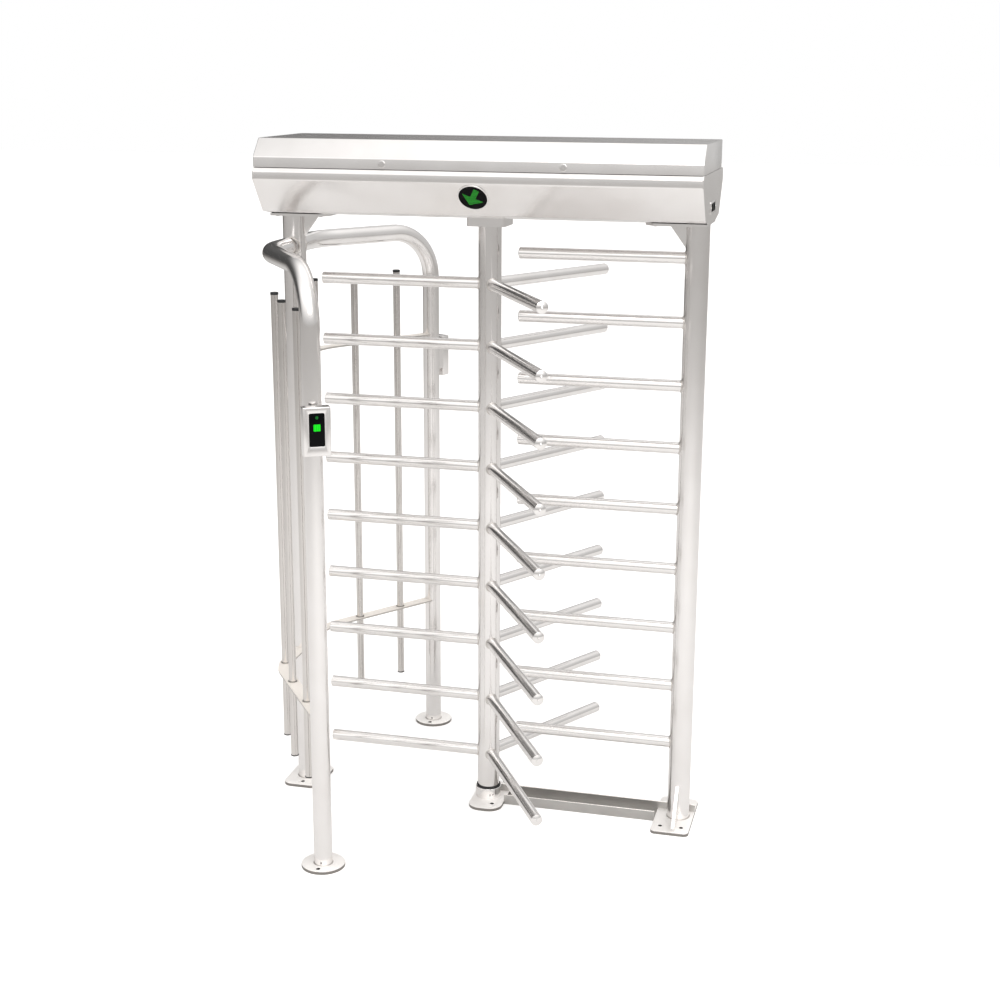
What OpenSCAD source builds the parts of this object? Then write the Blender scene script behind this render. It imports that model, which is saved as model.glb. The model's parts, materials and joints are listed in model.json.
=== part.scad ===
// Full height turnstile: a three-column rotor turning between a fixed comb
// and a curved guide, all hung under one long header beam.
// Millimetres, +Z up, origin on the floor at the rotor axis,
// +X along the beam towards the comb, -Y towards the front passage.

/* [Overall] */
// height of the whole turnstile
total_h = 2300; // [2100:10:2500]
// length of the header beam
beam_l = 1446; // [1400:1:1700]
// distance of both post axes from the ends of the beam
post_in = 43; // [39:1:60]

/* [Header beam] */
// half depth of the flat bottom
bottom_half = 95; // [88:1:105]
// half depth where the lower slope starts
low_half = 168; // [150:1:180]
// half depth of the rim that carries the lid
rim_half = 238; // [225:1:270]
// reach of the widest line of the beam beyond the rim
side_out = 10; // [6:1:16]
// depth of the lid top in front of the axis
lid_front = 186; // [150:1:210]
// distance of the lid back from the axis
lid_back = 199; // [190:1:210]
// height of the lid above the seam
lid_h = 91; // [80:1:110]
// height of the slope along the lid front
lid_slope_h = 57; // [40:1:65]
// height of the bevel along the rim
rim_bevel_h = 12; // [8:1:16]
// height of the upright band under the bevel
band_h = 25; // [15:1:35]
// height of the shallow slope beside the flat bottom
low_h = 12; // [8:1:16]
// height of the whole tray from its flat bottom to the seam
tray_h = 155; // [145:1:165]
// sheet thickness of tray and lid
sheet_t = 2.5; // [2:0.1:4]
// thickness of the end plates
end_t = 3; // [2:0.5:5]
// width of the folded rim in front
rim_w = 20; // [14:1:26]
// gap between lid and tray
lid_gap = 1; // [0.5:0.1:2]

/* [Posts and plates] */
// diameter of the two posts
post_d = 76; // [60:1:80]
// wall of the two posts
post_wall = 3; // [2:0.5:5]
// thickness of the head plates
head_t = 8; // [6:1:12]
// length of the head plates along the beam
head_l = 196; // [180:1:205]
// half depth of the head plates
head_half = 110; // [100:1:130]
// overhang of a head plate beyond the post axis
head_out = 40; // [39:1:43]
// cut corner of the head plates
head_cut = 30; // [10:1:40]
// length of a gusset along the beam
gusset_l = 56; // [40:1:70]
// height of a gusset
gusset_h = 76; // [50:1:100]
// thickness of gussets
gusset_t = 8; // [6:1:12]
// thickness of all floor plates
plate_t = 10; // [8:1:14]
// corner radius of the floor plates
plate_r = 18; // [10:1:24]
// length of the plate under the left post along the beam
left_plate_l = 138; // [120:1:160]
// depth of the plate under the left post
left_plate_w = 190; // [160:1:220]
// length of the comb base plate along the beam
comb_plate_l = 130; // [120:1:150]
// depth of the comb base plate
comb_plate_w = 284; // [240:1:300]
// reach of the ribs at the comb base
rib_reach = 96; // [60:1:98]
// height of the ribs at the comb base
rib_h = 128; // [100:1:160]
// thickness of the ribs
rib_t = 10; // [6:1:14]
// upright edge left at the outer end of each rib
rib_toe = 12; // [6:1:20]
// radius of the floor bolt holes
floor_hole_r = 7; // [6:0.5:8]

/* [Rotor] */
// diameter of the rotor column
rotor_d = 76; // [60:1:80]
// wall of the rotor column
rotor_wall = 3; // [2:0.5:5]
// height of the column bottom above the floor
rotor_bottom = 55; // [50:1:58]
// number of arms in one column of arms
arm_levels = 9; // [5:1:9]
// diameter of arms and comb bars
arm_d = 38; // [32:1:42]
// wall of arms and comb bars
arm_wall = 2; // [1.5:0.5:3]
// distance of the arm ends from the axis
arm_reach = 584; // [520:1:590]
// height of the lowest arms
arm_first_z = 178; // [170:1:200]
// distance of the highest arms below the top of the column
arm_top_gap = 182; // [150:1:240]
// length of the domed end caps
cap_l = 8; // [5:1:12]
// distance of the comb bar ends from the axis
comb_free_x = 96; // [80:1:140]

/* [Guide] */
// diameter of the guide tube
rail_d = 60; // [50:1:64]
// wall of the guide tube
rail_wall = 2.5; // [2:0.5:4]
// distance of the guide tube axis below the beam
rail_drop = 116; // [90:1:150]
// distance of the guide corner from the beam centre line
corner_y = 218; // [205:1:230]
// distance of the guide uprights from the rotor axis along the beam
upright_x = 392; // [380:1:400]
// distance of the guide uprights from the beam centre line
upright_y = 637; // [600:1:660]
// bend radius of the guide corner
corner_r = 240; // [200:1:300]
// bend radius at the top of an upright
elbow_r = 170; // [150:1:190]
// radius of the round feet
foot_r = 71; // [60:1:80]
// distance of the bolt holes from the upright axis
foot_hole_y = 50; // [46:1:56]
// width of the flat strips
strip_w = 44; // [36:1:54]
// thickness of the flat strips
strip_t = 6; // [4:1:8]
// height of the lower strips
strip_low_z = 506; // [450:1:600]
// distance of the upper strip below the picket tops
strip_drop = 254; // [200:1:300]
// diameter of the pickets
picket_d = 25; // [20:1:28]
// wall of the pickets
picket_wall = 2; // [1.5:0.5:3]
// height of the picket bottoms
picket_low_z = 239; // [200:1:300]
// distance of the picket tops below the guide tube axis
picket_drop = 134; // [100:1:200]
// thickness of the picket end plugs
plug_t = 8; // [4:1:10]
// distance of the picket in the corner from the beam centre line
picket_first = 187; // [175:1:200]
// distance of the middle picket from the corner
picket_mid = 163; // [150:1:180]
// distance of the outer picket from the corner
picket_out = 353; // [335:1:370]

/* [Readers] */
// width of a reader box
reader_w = 86; // [76:1:96]
// height of a reader box
reader_h = 150; // [130:1:160]
// depth of a reader box
reader_d = 38; // [30:1:44]
// height of the reader bottoms
reader_z = 1389; // [1350:1:1400]
// width of the reader window
window_w = 47; // [40:1:52]
// height of the reader window
window_h = 102; // [90:1:110]
// turn of the front reader towards the rotor
reader_turn_front = 30; // [15:1:40]
// turn of the rear reader towards the rotor
reader_turn_rear = 20; // [15:1:40]
// sideways shift of the rear reader
reader_shift_rear = 22; // [0:1:24]

/* [Floor] */
// half width of the floor channel
channel_half = 44; // [42:1:46]
// height of the floor channel
channel_h = 36; // [30:1:40]
// sheet thickness of the floor channel
channel_t = 3; // [2:0.5:4]
// radius of the pivot housing
pivot_r = 45; // [43:0.5:46]
// height of the pivot housing top above the floor
pivot_top = 42; // [38:1:44]
// length of the pivot plate along the beam
pivot_plate_l = 118; // [110:1:126]
// depth of the pivot plate
pivot_plate_w = 236; // [220:1:250]
// offset of the pivot plate towards the comb
pivot_shift = 8; // [0:1:10]
// distance of the pivot bolt holes from the centre line
pivot_hole_y = 72; // [70:1:90]

/* [Signal] */
// diameter of the round signal
signal_d = 101; // [96:1:103]
// length of the arrow
arrow_l = 68; // [60:1:76]
// turn of the arrow away from straight down
arrow_turn = 28; // [0:1:60]

/* [Hidden] */
$fn = 64;
over = 1;
run_gap = 0.05;
clear = 0.5;
beam_half = beam_l / 2;
post_x = beam_half - post_in;
beam_bottom = total_h - lid_h - tray_h;
seam_z = beam_bottom + tray_h;
side_half = rim_half + side_out;
low_z = beam_bottom + low_h;
rim_z = seam_z - rim_bevel_h;
side_z = rim_z - band_h;
post_r = post_d / 2;
rotor_r = rotor_d / 2;
arm_r = arm_d / 2;
rail_r = rail_d / 2;
picket_r = picket_d / 2;
rail_z = beam_bottom - rail_drop;
picket_high_z = rail_z - picket_drop;
strip_high_z = picket_high_z - strip_drop;
post_top = beam_bottom - head_t;
rear_lip = 15;

// floor plates and head plates
left_hole_y = 65;
comb_hole_x = 36;
comb_hole_y = 95;
comb_shift = 12;
rib_bite = 6;
cable_hole_r = 14;
head_bolt_in = 25;
head_bolt_out = 125;
head_bolt_y = 80;
screw_r = 3;
screw_head_r = 5.5;
screw_head_h = 4;

// head bearing block and head shaft
block_l = 128;
block_h = 30;
block_corner = 14;
block_bolt = 50;
block_bolt_h = 16;
boss_r = 56;
boss_h = 26;
bearing_out = 45;
bearing_in = 25;
bearing_h = 20;
race_t = 7;
ball_r = 5;
ball_count = 10;
ledge_r = 31;
collar_h = 6;
block_gap = 2;
rotor_top = beam_bottom - block_h - block_gap - collar_h;
arm_pitch = (rotor_top - arm_top_gap - arm_first_z) / (arm_levels - 1);
head_plug_h = 60;
shaft_thin_r = 20;
shaft_thin_h = 84;

// foot bearing
foot_pin_r = 15;
foot_shoulder_r = 18;
foot_bearing_out = 31;
foot_bearing_z = 22;
foot_bearing_h = 16;
foot_race_t = 5;
foot_ball_r = 4;
foot_ball_count = 12;
foot_plug_h = 50;
foot_flange_r = 37;
foot_flange_h = 5;
seal_r = 42;
seal_wall = 3;
grub_z = 27;
grub_angle = -56;
grub_r = 3;
grub_l = 10;
pivot_corner = 45;
pivot_hole_x = 31;
pivot_end_x = pivot_shift + pivot_plate_l / 2;
channel_rear_x = 22;

// mechanism in the beam
deck_l = 420;
deck_w = 184;
deck_t = 4;
deck_h = 44;
deck_z = beam_bottom + sheet_t + deck_h;
deck_top = deck_z + deck_t;
deck_hole_r = 66;
deck_foot = 24;
cam_z = deck_top + 14;
cam_t = 12;
cam_base_r = 52;
lobe_r = 15;
lobe_at = 50;
hub_r = 30;
lever_t = 8;
lever_r = 12;
lever_w = 16;
lever_pin_r = 6;
lever_pivot_x = -118;
lever_pivot_y = 72;
roller_r = 13;
roller_pin_r = 5;
roller_x = -(lobe_at + lobe_r + roller_r + clear);
lever_dx = roller_x - lever_pivot_x;
lever_l = norm([lever_dx, lever_pivot_y]);
lever_turn = atan2(-lever_pivot_y, lever_dx);
disc_z = cam_z + cam_t + 8;
disc_t = 8;
disc_r = 74;
notch_w = 20;
notch_depth = 12;
notch_count = 12;
pawl_x = 100;
pawl_y = 62;
pawl_r = 11;
pawl_w = 12;
pawl_pin_r = 5;
pawl_post_r = 8;
tooth_gap = 6;
tooth_w = 9;
tooth_drop = 8.5;
solenoid_gap = 18;
solenoid_l = 56;
solenoid_w = 30;
solenoid_y = 20;
solenoid_h = 30;
plunger_r = 5;
plunger_l = 44;
plunger_gap = 0.4;

// lid hinge
knuckle_r = 5.5;
hinge_pin_r = 2.5;
leaf_t = 2;
leaf_w = 30;
hinge_l = 64;
hinge_in = 223;
hinge_x = beam_half - hinge_in;
knuckle_l = 21;
hinge_y = lid_back + clear + knuckle_r;
hinge_z = seam_z + clear + knuckle_r;

// cam locks
lock_in = 432;
lock_x = beam_half - lock_in;
lock_z = seam_z + 17;
lock_r = 9;
lock_flange_r = 12;
lock_flange_t = 2;
lock_depth = 22;
lock_plug_r = 6;
lock_cam_l = 28;
lock_cam_w = 12;
lock_cam_t = 2.5;
lock_nut_t = 4;
key_slot_w = 1.5;
key_slot_h = 7;
key_slot_d = 3;

// power panel at the comb end of the beam
panel_rise = 46;
panel_z = beam_bottom + panel_rise;
panel_l = 124;
panel_h = 38;
panel_face_t = 2;
panel_cut_l = 112;
panel_cut_h = 30;
panel_depth = 26;
inlet_y = -28;
inlet_l = 28;
inlet_h = 20;
inlet_depth = 18;
inlet_pin = 2;
inlet_pin_l = 14;
inlet_pitch = 8;
rocker_y = 26;
rocker_l = 18;
rocker_h = 14;
rocker_tilt = 6;
rocker_depth = 8;
rocker_rise = 3;

// boards
board_in = 283;
board_x = board_in - beam_half;
board_l = 190;
board_w = 130;
board_t = 2;
standoff_r = 4;
standoff_h = 12;
chip_h = 9;
supply_in = 293;
supply_x = beam_half - supply_in;
supply_l = 190;
supply_w = 98;
supply_h = 44;

// signals
signal_r = signal_d / 2;
signal_lip = 2.5;
signal_hole_r = signal_r - signal_lip;
signal_wall = 2;
signal_face_r = signal_hole_r - signal_wall;
signal_share = 0.59;
signal_rise = 3;
signal_depth = 12;
signal_face_rise = 1.5;
arrow_w = 18;
arrow_head_w = 73;
arrow_head_l = 33;
arrow_t = 1.2;
arrow_rise = 0.3;
slope_w = side_half - low_half;
slope_h = side_z - low_z;
slope_turn = 90 + atan2(slope_w, slope_h);
signal_y = low_half + signal_share * slope_w;
signal_z = low_z + signal_share * slope_h;

// comb and guide
comb_first_z = arm_first_z + arm_pitch / 2;
dome_h = 5;
dome_r = (pow(arm_r, 2) + pow(dome_h, 2)) / (2 * dome_h);
cope_bite = 12;
guide_x = post_x + post_r - rail_r;
guide_dx = guide_x - upright_x;
guide_dy = upright_y - corner_y;
guide_bend = atan2(guide_dx, guide_dy);
guide_l = norm([guide_dx, guide_dy]);
corner_reach = corner_r * tan(guide_bend / 2);
straight_l = corner_y - corner_reach;
first_turn = asin((picket_first - straight_l) / corner_r);
spigot_h = 14;
plug_lip = 1;
collar_wall = 3;
collar_rise = 2.5;
strip_steps = 7;

// readers
reader_back = 47;
reader_corner = 5;
bracket_w = 44;
bracket_h = 90;
window_corner = 5;
window_t = 3;
window_rise = 0.5;
window_low = 30;

// A tube standing on z = 0.
module tube(r, wall, h) {
    difference() {
        cylinder(r = r, h = h);
        translate([0, 0, -over]) cylinder(r = r - wall, h = h + 2 * over);
    }
}

// A flat ring standing on z = 0.
module ring(r, bore, h) {
    tube(r, r - bore, h);
}

// A plate with rounded corners, centred, standing on z = 0.
module plate(l, w, r, h) {
    linear_extrude(height = h) plate_outline(l, w, r);
}

module plate_outline(l, w, r) {
    square([l - 2 * r, w], center = true);
    square([l, w - 2 * r], center = true);
    for (x = [-1, 1], y = [-1, 1])
        translate([x * (l / 2 - r), y * (w / 2 - r)]) circle(r = r);
}

// A vertical bolt hole through a floor plate.
module floor_hole(x, y) {
    translate([x, y, -over]) cylinder(r = floor_hole_r, h = plate_t + 2 * over);
}

// Repeats a piece on both sides of the beam centre line.
module both_sides() {
    children();
    mirror([0, 1, 0]) children();
}

// A mirrored outline of the beam from half depths and heights.
module beam_outline(half) {
    last = len(half) - 1;
    polygon(concat(half, [for (i = [last:-1:0]) [-half[i][0], half[i][1]]]));
}

// Turns an outline in depth and height into a bar along the beam.
module along_beam(x0, x1) {
    translate([x0, 0, 0]) rotate([90, 0, 90]) linear_extrude(height = x1 - x0) children();
}

tray_points = [
    [bottom_half, beam_bottom],
    [low_half, low_z],
    [side_half, side_z],
    [side_half, rim_z],
    [rim_half, seam_z]
];

tray_inner = [
    [bottom_half, beam_bottom + sheet_t],
    [low_half - sheet_t, low_z + sheet_t],
    [side_half - sheet_t, side_z],
    [side_half - sheet_t, rim_z],
    [rim_half - sheet_t, seam_z - sheet_t]
];

module left_post() {
    color("#cfcbc6") translate([-post_x, 0, plate_t]) tube(post_r, post_wall, post_top - plate_t);
}

module comb_post() {
    color("#cfcbc6") translate([post_x, 0, plate_t]) tube(post_r, post_wall, post_top - plate_t);
}

module left_base_plate() {
    color("#d8d5d0") translate([-post_x, 0, 0]) difference() {
        plate(left_plate_l, left_plate_w, plate_r, plate_t);
        for (y = [-1, 1]) floor_hole(0, y * left_hole_y);
    }
}

module comb_base_plate() {
    color("#d8d5d0") translate([post_x - comb_shift, 0, 0]) difference() {
        plate(comb_plate_l, comb_plate_w, plate_r, plate_t);
        for (x = [-1, 1], y = [-1, 1]) floor_hole(x * comb_hole_x, y * comb_hole_y);
    }
}

module base_rib() {
    translate([post_x - rib_t / 2, 0, plate_t]) rotate([90, 0, 90]) linear_extrude(height = rib_t)
        polygon([
            [post_r - rib_bite, 0], [post_r + rib_reach, 0], [post_r + rib_reach, rib_toe],
            [post_r + rib_toe / 2, rib_h], [post_r - rib_bite, rib_h]
        ]);
}

module head_gusset() {
    translate([post_r - rib_bite, gusset_t / 2, post_top]) rotate([90, 0, 0])
        linear_extrude(height = gusset_t)
            polygon([[0, 0], [gusset_l + rib_bite, 0], [rib_bite, -gusset_h], [0, -gusset_h]]);
}

module post_gussets() {
    color("#d8d5d0") {
        difference() {
            both_sides() base_rib();
            translate([post_x, 0, 0]) cylinder(r = post_r, h = total_h);
            translate([0, channel_half - channel_t, plate_t])
                cube([beam_half, channel_t, channel_h - plate_t]);
        }
        for (side = [-1, 1]) difference() {
            translate([side * post_x, 0, 0]) mirror([side + 1, 0, 0]) head_gusset();
            translate([side * post_x, 0, 0]) cylinder(r = post_r, h = total_h);
        }
    }
}

module head_plate() {
    difference() {
        translate([-head_out, -head_half, post_top]) cube([head_l, 2 * head_half, head_t]);
        both_sides() translate([head_l - head_out, head_half, post_top - over]) rotate([0, 0, 45])
            cube([head_cut * sqrt(2), head_cut * sqrt(2), head_t * 3], center = true);
        head_screws(screw_r);
        translate([0, 0, post_top - over]) cylinder(r = cable_hole_r, h = head_t + 2 * over);
    }
}

module head_screws(r) {
    for (x = [-head_bolt_in, head_bolt_out], y = [-1, 1])
        translate([x, y * head_bolt_y, post_top - over]) cylinder(r = r, h = head_t + sheet_t + 2 * over);
}

module head_plates() {
    color("#d8d5d0") for (side = [-1, 1])
        translate([side * post_x, 0, 0]) mirror([side + 1, 0, 0]) head_plate();
}

module head_bolt() {
    translate([0, 0, post_top]) cylinder(r = screw_r, h = head_t + sheet_t + screw_head_h);
    translate([0, 0, post_top - screw_head_h]) cylinder(r = screw_head_r, h = screw_head_h);
    translate([0, 0, beam_bottom + sheet_t]) cylinder(r = screw_head_r, h = screw_head_h, $fn = 6);
}

module block_bolts() {
    for (x = [-1, 1], y = [-1, 1]) translate([x * block_bolt, y * block_bolt, beam_bottom - block_bolt_h]) {
        cylinder(r = screw_r, h = block_bolt_h + sheet_t + screw_head_h);
        translate([0, 0, block_bolt_h + sheet_t]) cylinder(r = screw_head_r, h = screw_head_h, $fn = 6);
    }
}

module head_bolts() {
    color("#a8a6a2") {
        for (side = [-1, 1], x = [-head_bolt_in, head_bolt_out], y = [-1, 1])
            translate([side * (post_x - x), y * head_bolt_y, 0]) head_bolt();
        block_bolts();
    }
}

module signal_place() {
    both_sides() translate([0, -signal_y, signal_z]) rotate([slope_turn, 0, 0]) children();
}

module beam_tray() {
    color("#dedbd7") difference() {
        along_beam(end_t - beam_half, beam_half - end_t) difference() {
            beam_outline(tray_points);
            beam_outline(tray_inner);
            translate([rim_w - rim_half, seam_z - sheet_t - over])
                square([rim_half - rim_w + lid_back - rear_lip, sheet_t + 2 * over]);
        }
        translate([0, 0, beam_bottom - over]) cylinder(r = boss_r, h = sheet_t + 2 * over);
        for (x = [-1, 1], y = [-1, 1]) translate([x * block_bolt, y * block_bolt, beam_bottom - over])
            cylinder(r = screw_r, h = sheet_t + 2 * over);
        for (side = [-1, 1]) translate([side * post_x, 0, 0]) {
            mirror([side + 1, 0, 0]) head_screws(screw_r);
            translate([0, 0, beam_bottom - over]) cylinder(r = cable_hole_r, h = sheet_t + 2 * over);
        }
        signal_place() translate([0, 0, -sheet_t * 3]) cylinder(r = signal_hole_r, h = sheet_t * 6);
    }
}

module end_plate() {
    along_beam(beam_half - end_t, beam_half) beam_outline(tray_points);
}

module beam_ends() {
    color("#cfccc8") {
        mirror([1, 0, 0]) end_plate();
        difference() {
            end_plate();
            translate([beam_half - end_t - over, -panel_cut_l / 2, panel_z - panel_cut_h / 2])
                cube([end_t + 2 * over, panel_cut_l, panel_cut_h]);
        }
    }
}

// The lid is one folded sheet, closed by an end panel on each side.
lid_low = seam_z + lid_gap;
lid_slope_z = total_h - lid_slope_h;

lid_points = [
    [-rim_half, lid_low], [lid_back, lid_low], [lid_back, total_h],
    [-lid_front, total_h], [-rim_half, lid_slope_z]
];

lid_inner = [
    [sheet_t - rim_half, lid_low - over], [lid_back - sheet_t, lid_low - over],
    [lid_back - sheet_t, total_h - sheet_t], [-lid_front, total_h - sheet_t],
    [sheet_t - rim_half, lid_slope_z]
];

module beam_lid() {
    panel_x = beam_half - sheet_t;
    color("#f1efec") difference() {
        union() {
            along_beam(run_gap - panel_x, panel_x - run_gap) difference() {
                polygon(lid_points);
                polygon(lid_inner);
            }
            for (side = [0, 1]) mirror([side, 0, 0]) along_beam(panel_x, beam_half) polygon(lid_points);
        }
        lock_places() translate([0, 0, -over]) cylinder(r = lock_r, h = sheet_t + 2 * over);
    }
}

// One hinge along the beam: a leaf, and knuckles around the hinge axis.
module hinge_axis() {
    translate([0, hinge_y, hinge_z]) rotate([0, 90, 0]) children();
}

module knuckle(x0, x1, r) {
    translate([0, 0, x0]) cylinder(r = r, h = x1 - x0);
}

module hinge_leaves_fixed() {
    color("#b5b2ae") for (x = [-hinge_x, 0, hinge_x]) translate([x, 0, 0]) difference() {
        union() {
            translate([-hinge_l / 2, hinge_y, seam_z]) cube([hinge_l, leaf_w, leaf_t]);
            hinge_axis() knuckle(-knuckle_l / 2, knuckle_l / 2, knuckle_r);
        }
        hinge_axis() knuckle(-hinge_l, hinge_l, hinge_pin_r);
        for (side = [0, 1]) mirror([side, 0, 0]) hinge_axis()
            knuckle(knuckle_l / 2, hinge_l / 2 + over, knuckle_r + clear);
    }
}

module hinge_leaves_moving() {
    color("#b5b2ae") for (x = [-hinge_x, 0, hinge_x]) translate([x, 0, 0]) difference() {
        union() {
            translate([-hinge_l / 2, lid_back, hinge_z]) cube([hinge_l, leaf_t, leaf_w]);
            for (side = [0, 1]) mirror([side, 0, 0]) hinge_axis()
                knuckle(knuckle_l / 2 + clear, hinge_l / 2, knuckle_r);
        }
        hinge_axis() knuckle(-hinge_l, hinge_l, hinge_pin_r + run_gap);
        hinge_axis() knuckle(-knuckle_l / 2 - clear, knuckle_l / 2 + clear, knuckle_r + clear);
    }
}

module hinge_pins() {
    color("#8f8c88") for (x = [-hinge_x, 0, hinge_x]) translate([x, 0, 0])
        hinge_axis() knuckle(-hinge_l / 2, hinge_l / 2, hinge_pin_r);
}

// The two locks on the front of the lid, with local +Z running into the beam.
module lock_place(x) {
    translate([x, -rim_half, lock_z]) rotate([-90, 0, 0]) children();
}

module lock_places() {
    for (x = [-lock_x, lock_x]) lock_place(x) children();
}

module lid_lock_barrels() {
    color("#b9b6b1") lock_places() difference() {
        union() {
            translate([0, 0, -lock_flange_t]) cylinder(r = lock_flange_r, h = lock_flange_t);
            cylinder(r = lock_r, h = lock_depth - clear);
            translate([0, 0, sheet_t]) cylinder(r = lock_flange_r, h = lock_nut_t, $fn = 6);
        }
        translate([0, 0, -lock_flange_t - over])
            cylinder(r = lock_plug_r + run_gap, h = lock_depth + 2 * lock_flange_t + over);
    }
}

module lock_plug(x) {
    color("#9a9793") lock_place(x) {
        difference() {
            translate([0, 0, -lock_flange_t]) cylinder(r = lock_plug_r, h = lock_depth + lock_flange_t);
            translate([-key_slot_w / 2, -key_slot_h / 2, -lock_flange_t - over])
                cube([key_slot_w, key_slot_h, key_slot_d + over]);
        }
        translate([-lock_cam_w / 2, -lock_plug_r, lock_depth])
            cube([lock_cam_w, lock_cam_l, lock_cam_t]);
    }
}

module lid_lock_plug_left() {
    lock_plug(-lock_x);
}

module lid_lock_plug_right() {
    lock_plug(lock_x);
}

module signal_bezels() {
    color("#17181a") signal_place() difference() {
        union() {
            cylinder(r = signal_r, h = signal_rise);
            translate([0, 0, -signal_depth]) cylinder(r = signal_hole_r, h = signal_depth);
        }
        translate([0, 0, -signal_depth - over])
            cylinder(r = signal_face_r, h = signal_depth + signal_rise + 2 * over);
    }
}

// The arrow points away from straight down by arrow_turn.
module arrow_outline() {
    rotate([0, 0, -arrow_turn]) polygon([
        [-arrow_w / 2, arrow_l / 2], [-arrow_w / 2, arrow_head_l - arrow_l / 2],
        [-arrow_head_w / 2, arrow_head_l - arrow_l / 2], [0, -arrow_l / 2],
        [arrow_head_w / 2, arrow_head_l - arrow_l / 2], [arrow_w / 2, arrow_head_l - arrow_l / 2],
        [arrow_w / 2, arrow_l / 2]
    ]);
}

module signal_faces() {
    color("#0d0e10") signal_place() difference() {
        translate([0, 0, -signal_depth]) cylinder(r = signal_face_r, h = signal_depth + signal_face_rise);
        translate([0, 0, signal_face_rise + arrow_rise - arrow_t])
            linear_extrude(height = arrow_t) arrow_outline();
    }
}

module signal_arrows() {
    color("#35e04a") signal_place() translate([0, 0, signal_face_rise + arrow_rise - arrow_t])
        linear_extrude(height = arrow_t) arrow_outline();
}

module rocker_pocket() {
    translate([beam_half, rocker_y, panel_z]) cylinder(r = rocker_l / 2 + clear, h = rocker_h + clear, center = true);
}

module power_panel() {
    color("#15161a") {
        difference() {
            union() {
                translate([beam_half, -panel_l / 2, panel_z - panel_h / 2]) cube([panel_face_t, panel_l, panel_h]);
                translate([beam_half - panel_depth, -panel_cut_l / 2, panel_z - panel_cut_h / 2])
                    cube([panel_depth, panel_cut_l, panel_cut_h]);
            }
            translate([beam_half + panel_face_t - inlet_depth, inlet_y - inlet_l / 2, panel_z - inlet_h / 2])
                cube([inlet_depth + over, inlet_l, inlet_h]);
            rocker_pocket();
        }
        for (y = [-1:1]) translate([beam_half + panel_face_t - inlet_depth, inlet_y + y * inlet_pitch, panel_z])
            translate([0, -inlet_pin / 2, -inlet_pin]) cube([inlet_pin_l, inlet_pin, 2 * inlet_pin]);
    }
}

module power_rocker() {
    half = rocker_l / 2 - clear;
    color("#2b2d31") translate([beam_half, rocker_y, panel_z - rocker_h / 2 + clear])
        rotate([0, 0, -rocker_tilt]) linear_extrude(height = rocker_h - 2 * clear) polygon([
            [-rocker_depth / 2, -half / 2], [rocker_rise, -half], [rocker_rise / 2, 0],
            [rocker_rise, half], [-rocker_depth / 2, half / 2]
        ]);
}

module block_outline_bar(h) {
    plate(block_l, block_l, block_corner, h);
}

module top_bearing_block() {
    color("#c9c6c1") difference() {
        union() {
            translate([0, 0, beam_bottom - block_h]) block_outline_bar(block_h);
            translate([0, 0, beam_bottom]) cylinder(r = boss_r, h = boss_h);
        }
        translate([0, 0, beam_bottom - block_h - over]) cylinder(r = ledge_r, h = block_h + boss_h + 2 * over);
        translate([0, 0, beam_bottom + boss_h - bearing_h]) cylinder(r = bearing_out, h = bearing_h + over);
        for (x = [-1, 1], y = [-1, 1]) translate([x * block_bolt, y * block_bolt, beam_bottom - block_bolt_h])
            cylinder(r = screw_r, h = block_bolt_h + over);
    }
}

// One ball race: a ring between two radii with a groove at the ball circle.
module race(r_out, r_in, h, pitch_r, groove_r) {
    difference() {
        ring(r_out, r_in, h);
        translate([0, 0, h / 2]) rotate_extrude() translate([pitch_r, 0]) circle(r = groove_r);
    }
}

module balls(count, pitch_r, r) {
    for (i = [0:count - 1]) rotate([0, 0, i * 360 / count]) translate([pitch_r, 0, 0]) sphere(r = r);
}

top_pitch_r = (bearing_out + bearing_in) / 2;
top_bearing_z = beam_bottom + boss_h - bearing_h;

module top_bearing_outer_race() {
    color("#b4b2ae") translate([0, 0, top_bearing_z])
        race(bearing_out, bearing_out - race_t, bearing_h, top_pitch_r, ball_r);
}

module top_bearing_inner_race() {
    color("#b4b2ae") translate([0, 0, top_bearing_z])
        race(bearing_in + race_t, bearing_in, bearing_h, top_pitch_r, ball_r + run_gap);
}

module top_bearing_balls() {
    color("#e4e2de") translate([0, 0, top_bearing_z + bearing_h / 2]) balls(ball_count, top_pitch_r, ball_r);
}

module mechanism_plate() {
    color("#bfbcb7") difference() {
        union() {
            translate([-deck_l / 2, -deck_w / 2, deck_z]) cube([deck_l, deck_w, deck_t]);
            for (side = [0, 1]) mirror([side, 0, 0]) translate([deck_l / 2 - deck_t, -deck_w / 2, 0]) {
                translate([0, 0, deck_z - deck_h]) cube([deck_t, deck_w, deck_h + deck_t]);
                translate([-deck_foot, 0, deck_z - deck_h]) cube([deck_foot + deck_t, deck_w, deck_t]);
            }
        }
        translate([0, 0, deck_z - over]) cylinder(r = deck_hole_r, h = deck_t + 2 * over);
    }
}

module head_shaft() {
    shaft_top = beam_bottom + boss_h;
    color("#aaa7a3") {
        translate([0, 0, rotor_top - head_plug_h]) cylinder(r = rotor_r - rotor_wall, h = head_plug_h);
        translate([0, 0, rotor_top]) cylinder(r = rotor_r, h = collar_h);
        translate([0, 0, rotor_top]) cylinder(r = bearing_in, h = shaft_top - rotor_top);
        translate([0, 0, shaft_top]) cylinder(r = shaft_thin_r, h = shaft_thin_h);
    }
}

module index_cam() {
    color("#9c9a96") difference() {
        union() {
            translate([0, 0, cam_z]) linear_extrude(height = cam_t) {
                circle(r = cam_base_r);
                for (i = [0:2]) rotate([0, 0, i * 120]) translate([lobe_at, 0]) circle(r = lobe_r);
            }
            translate([0, 0, deck_top]) cylinder(r = hub_r, h = cam_z - deck_top);
        }
        cylinder(r = shaft_thin_r, h = total_h);
    }
}

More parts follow.
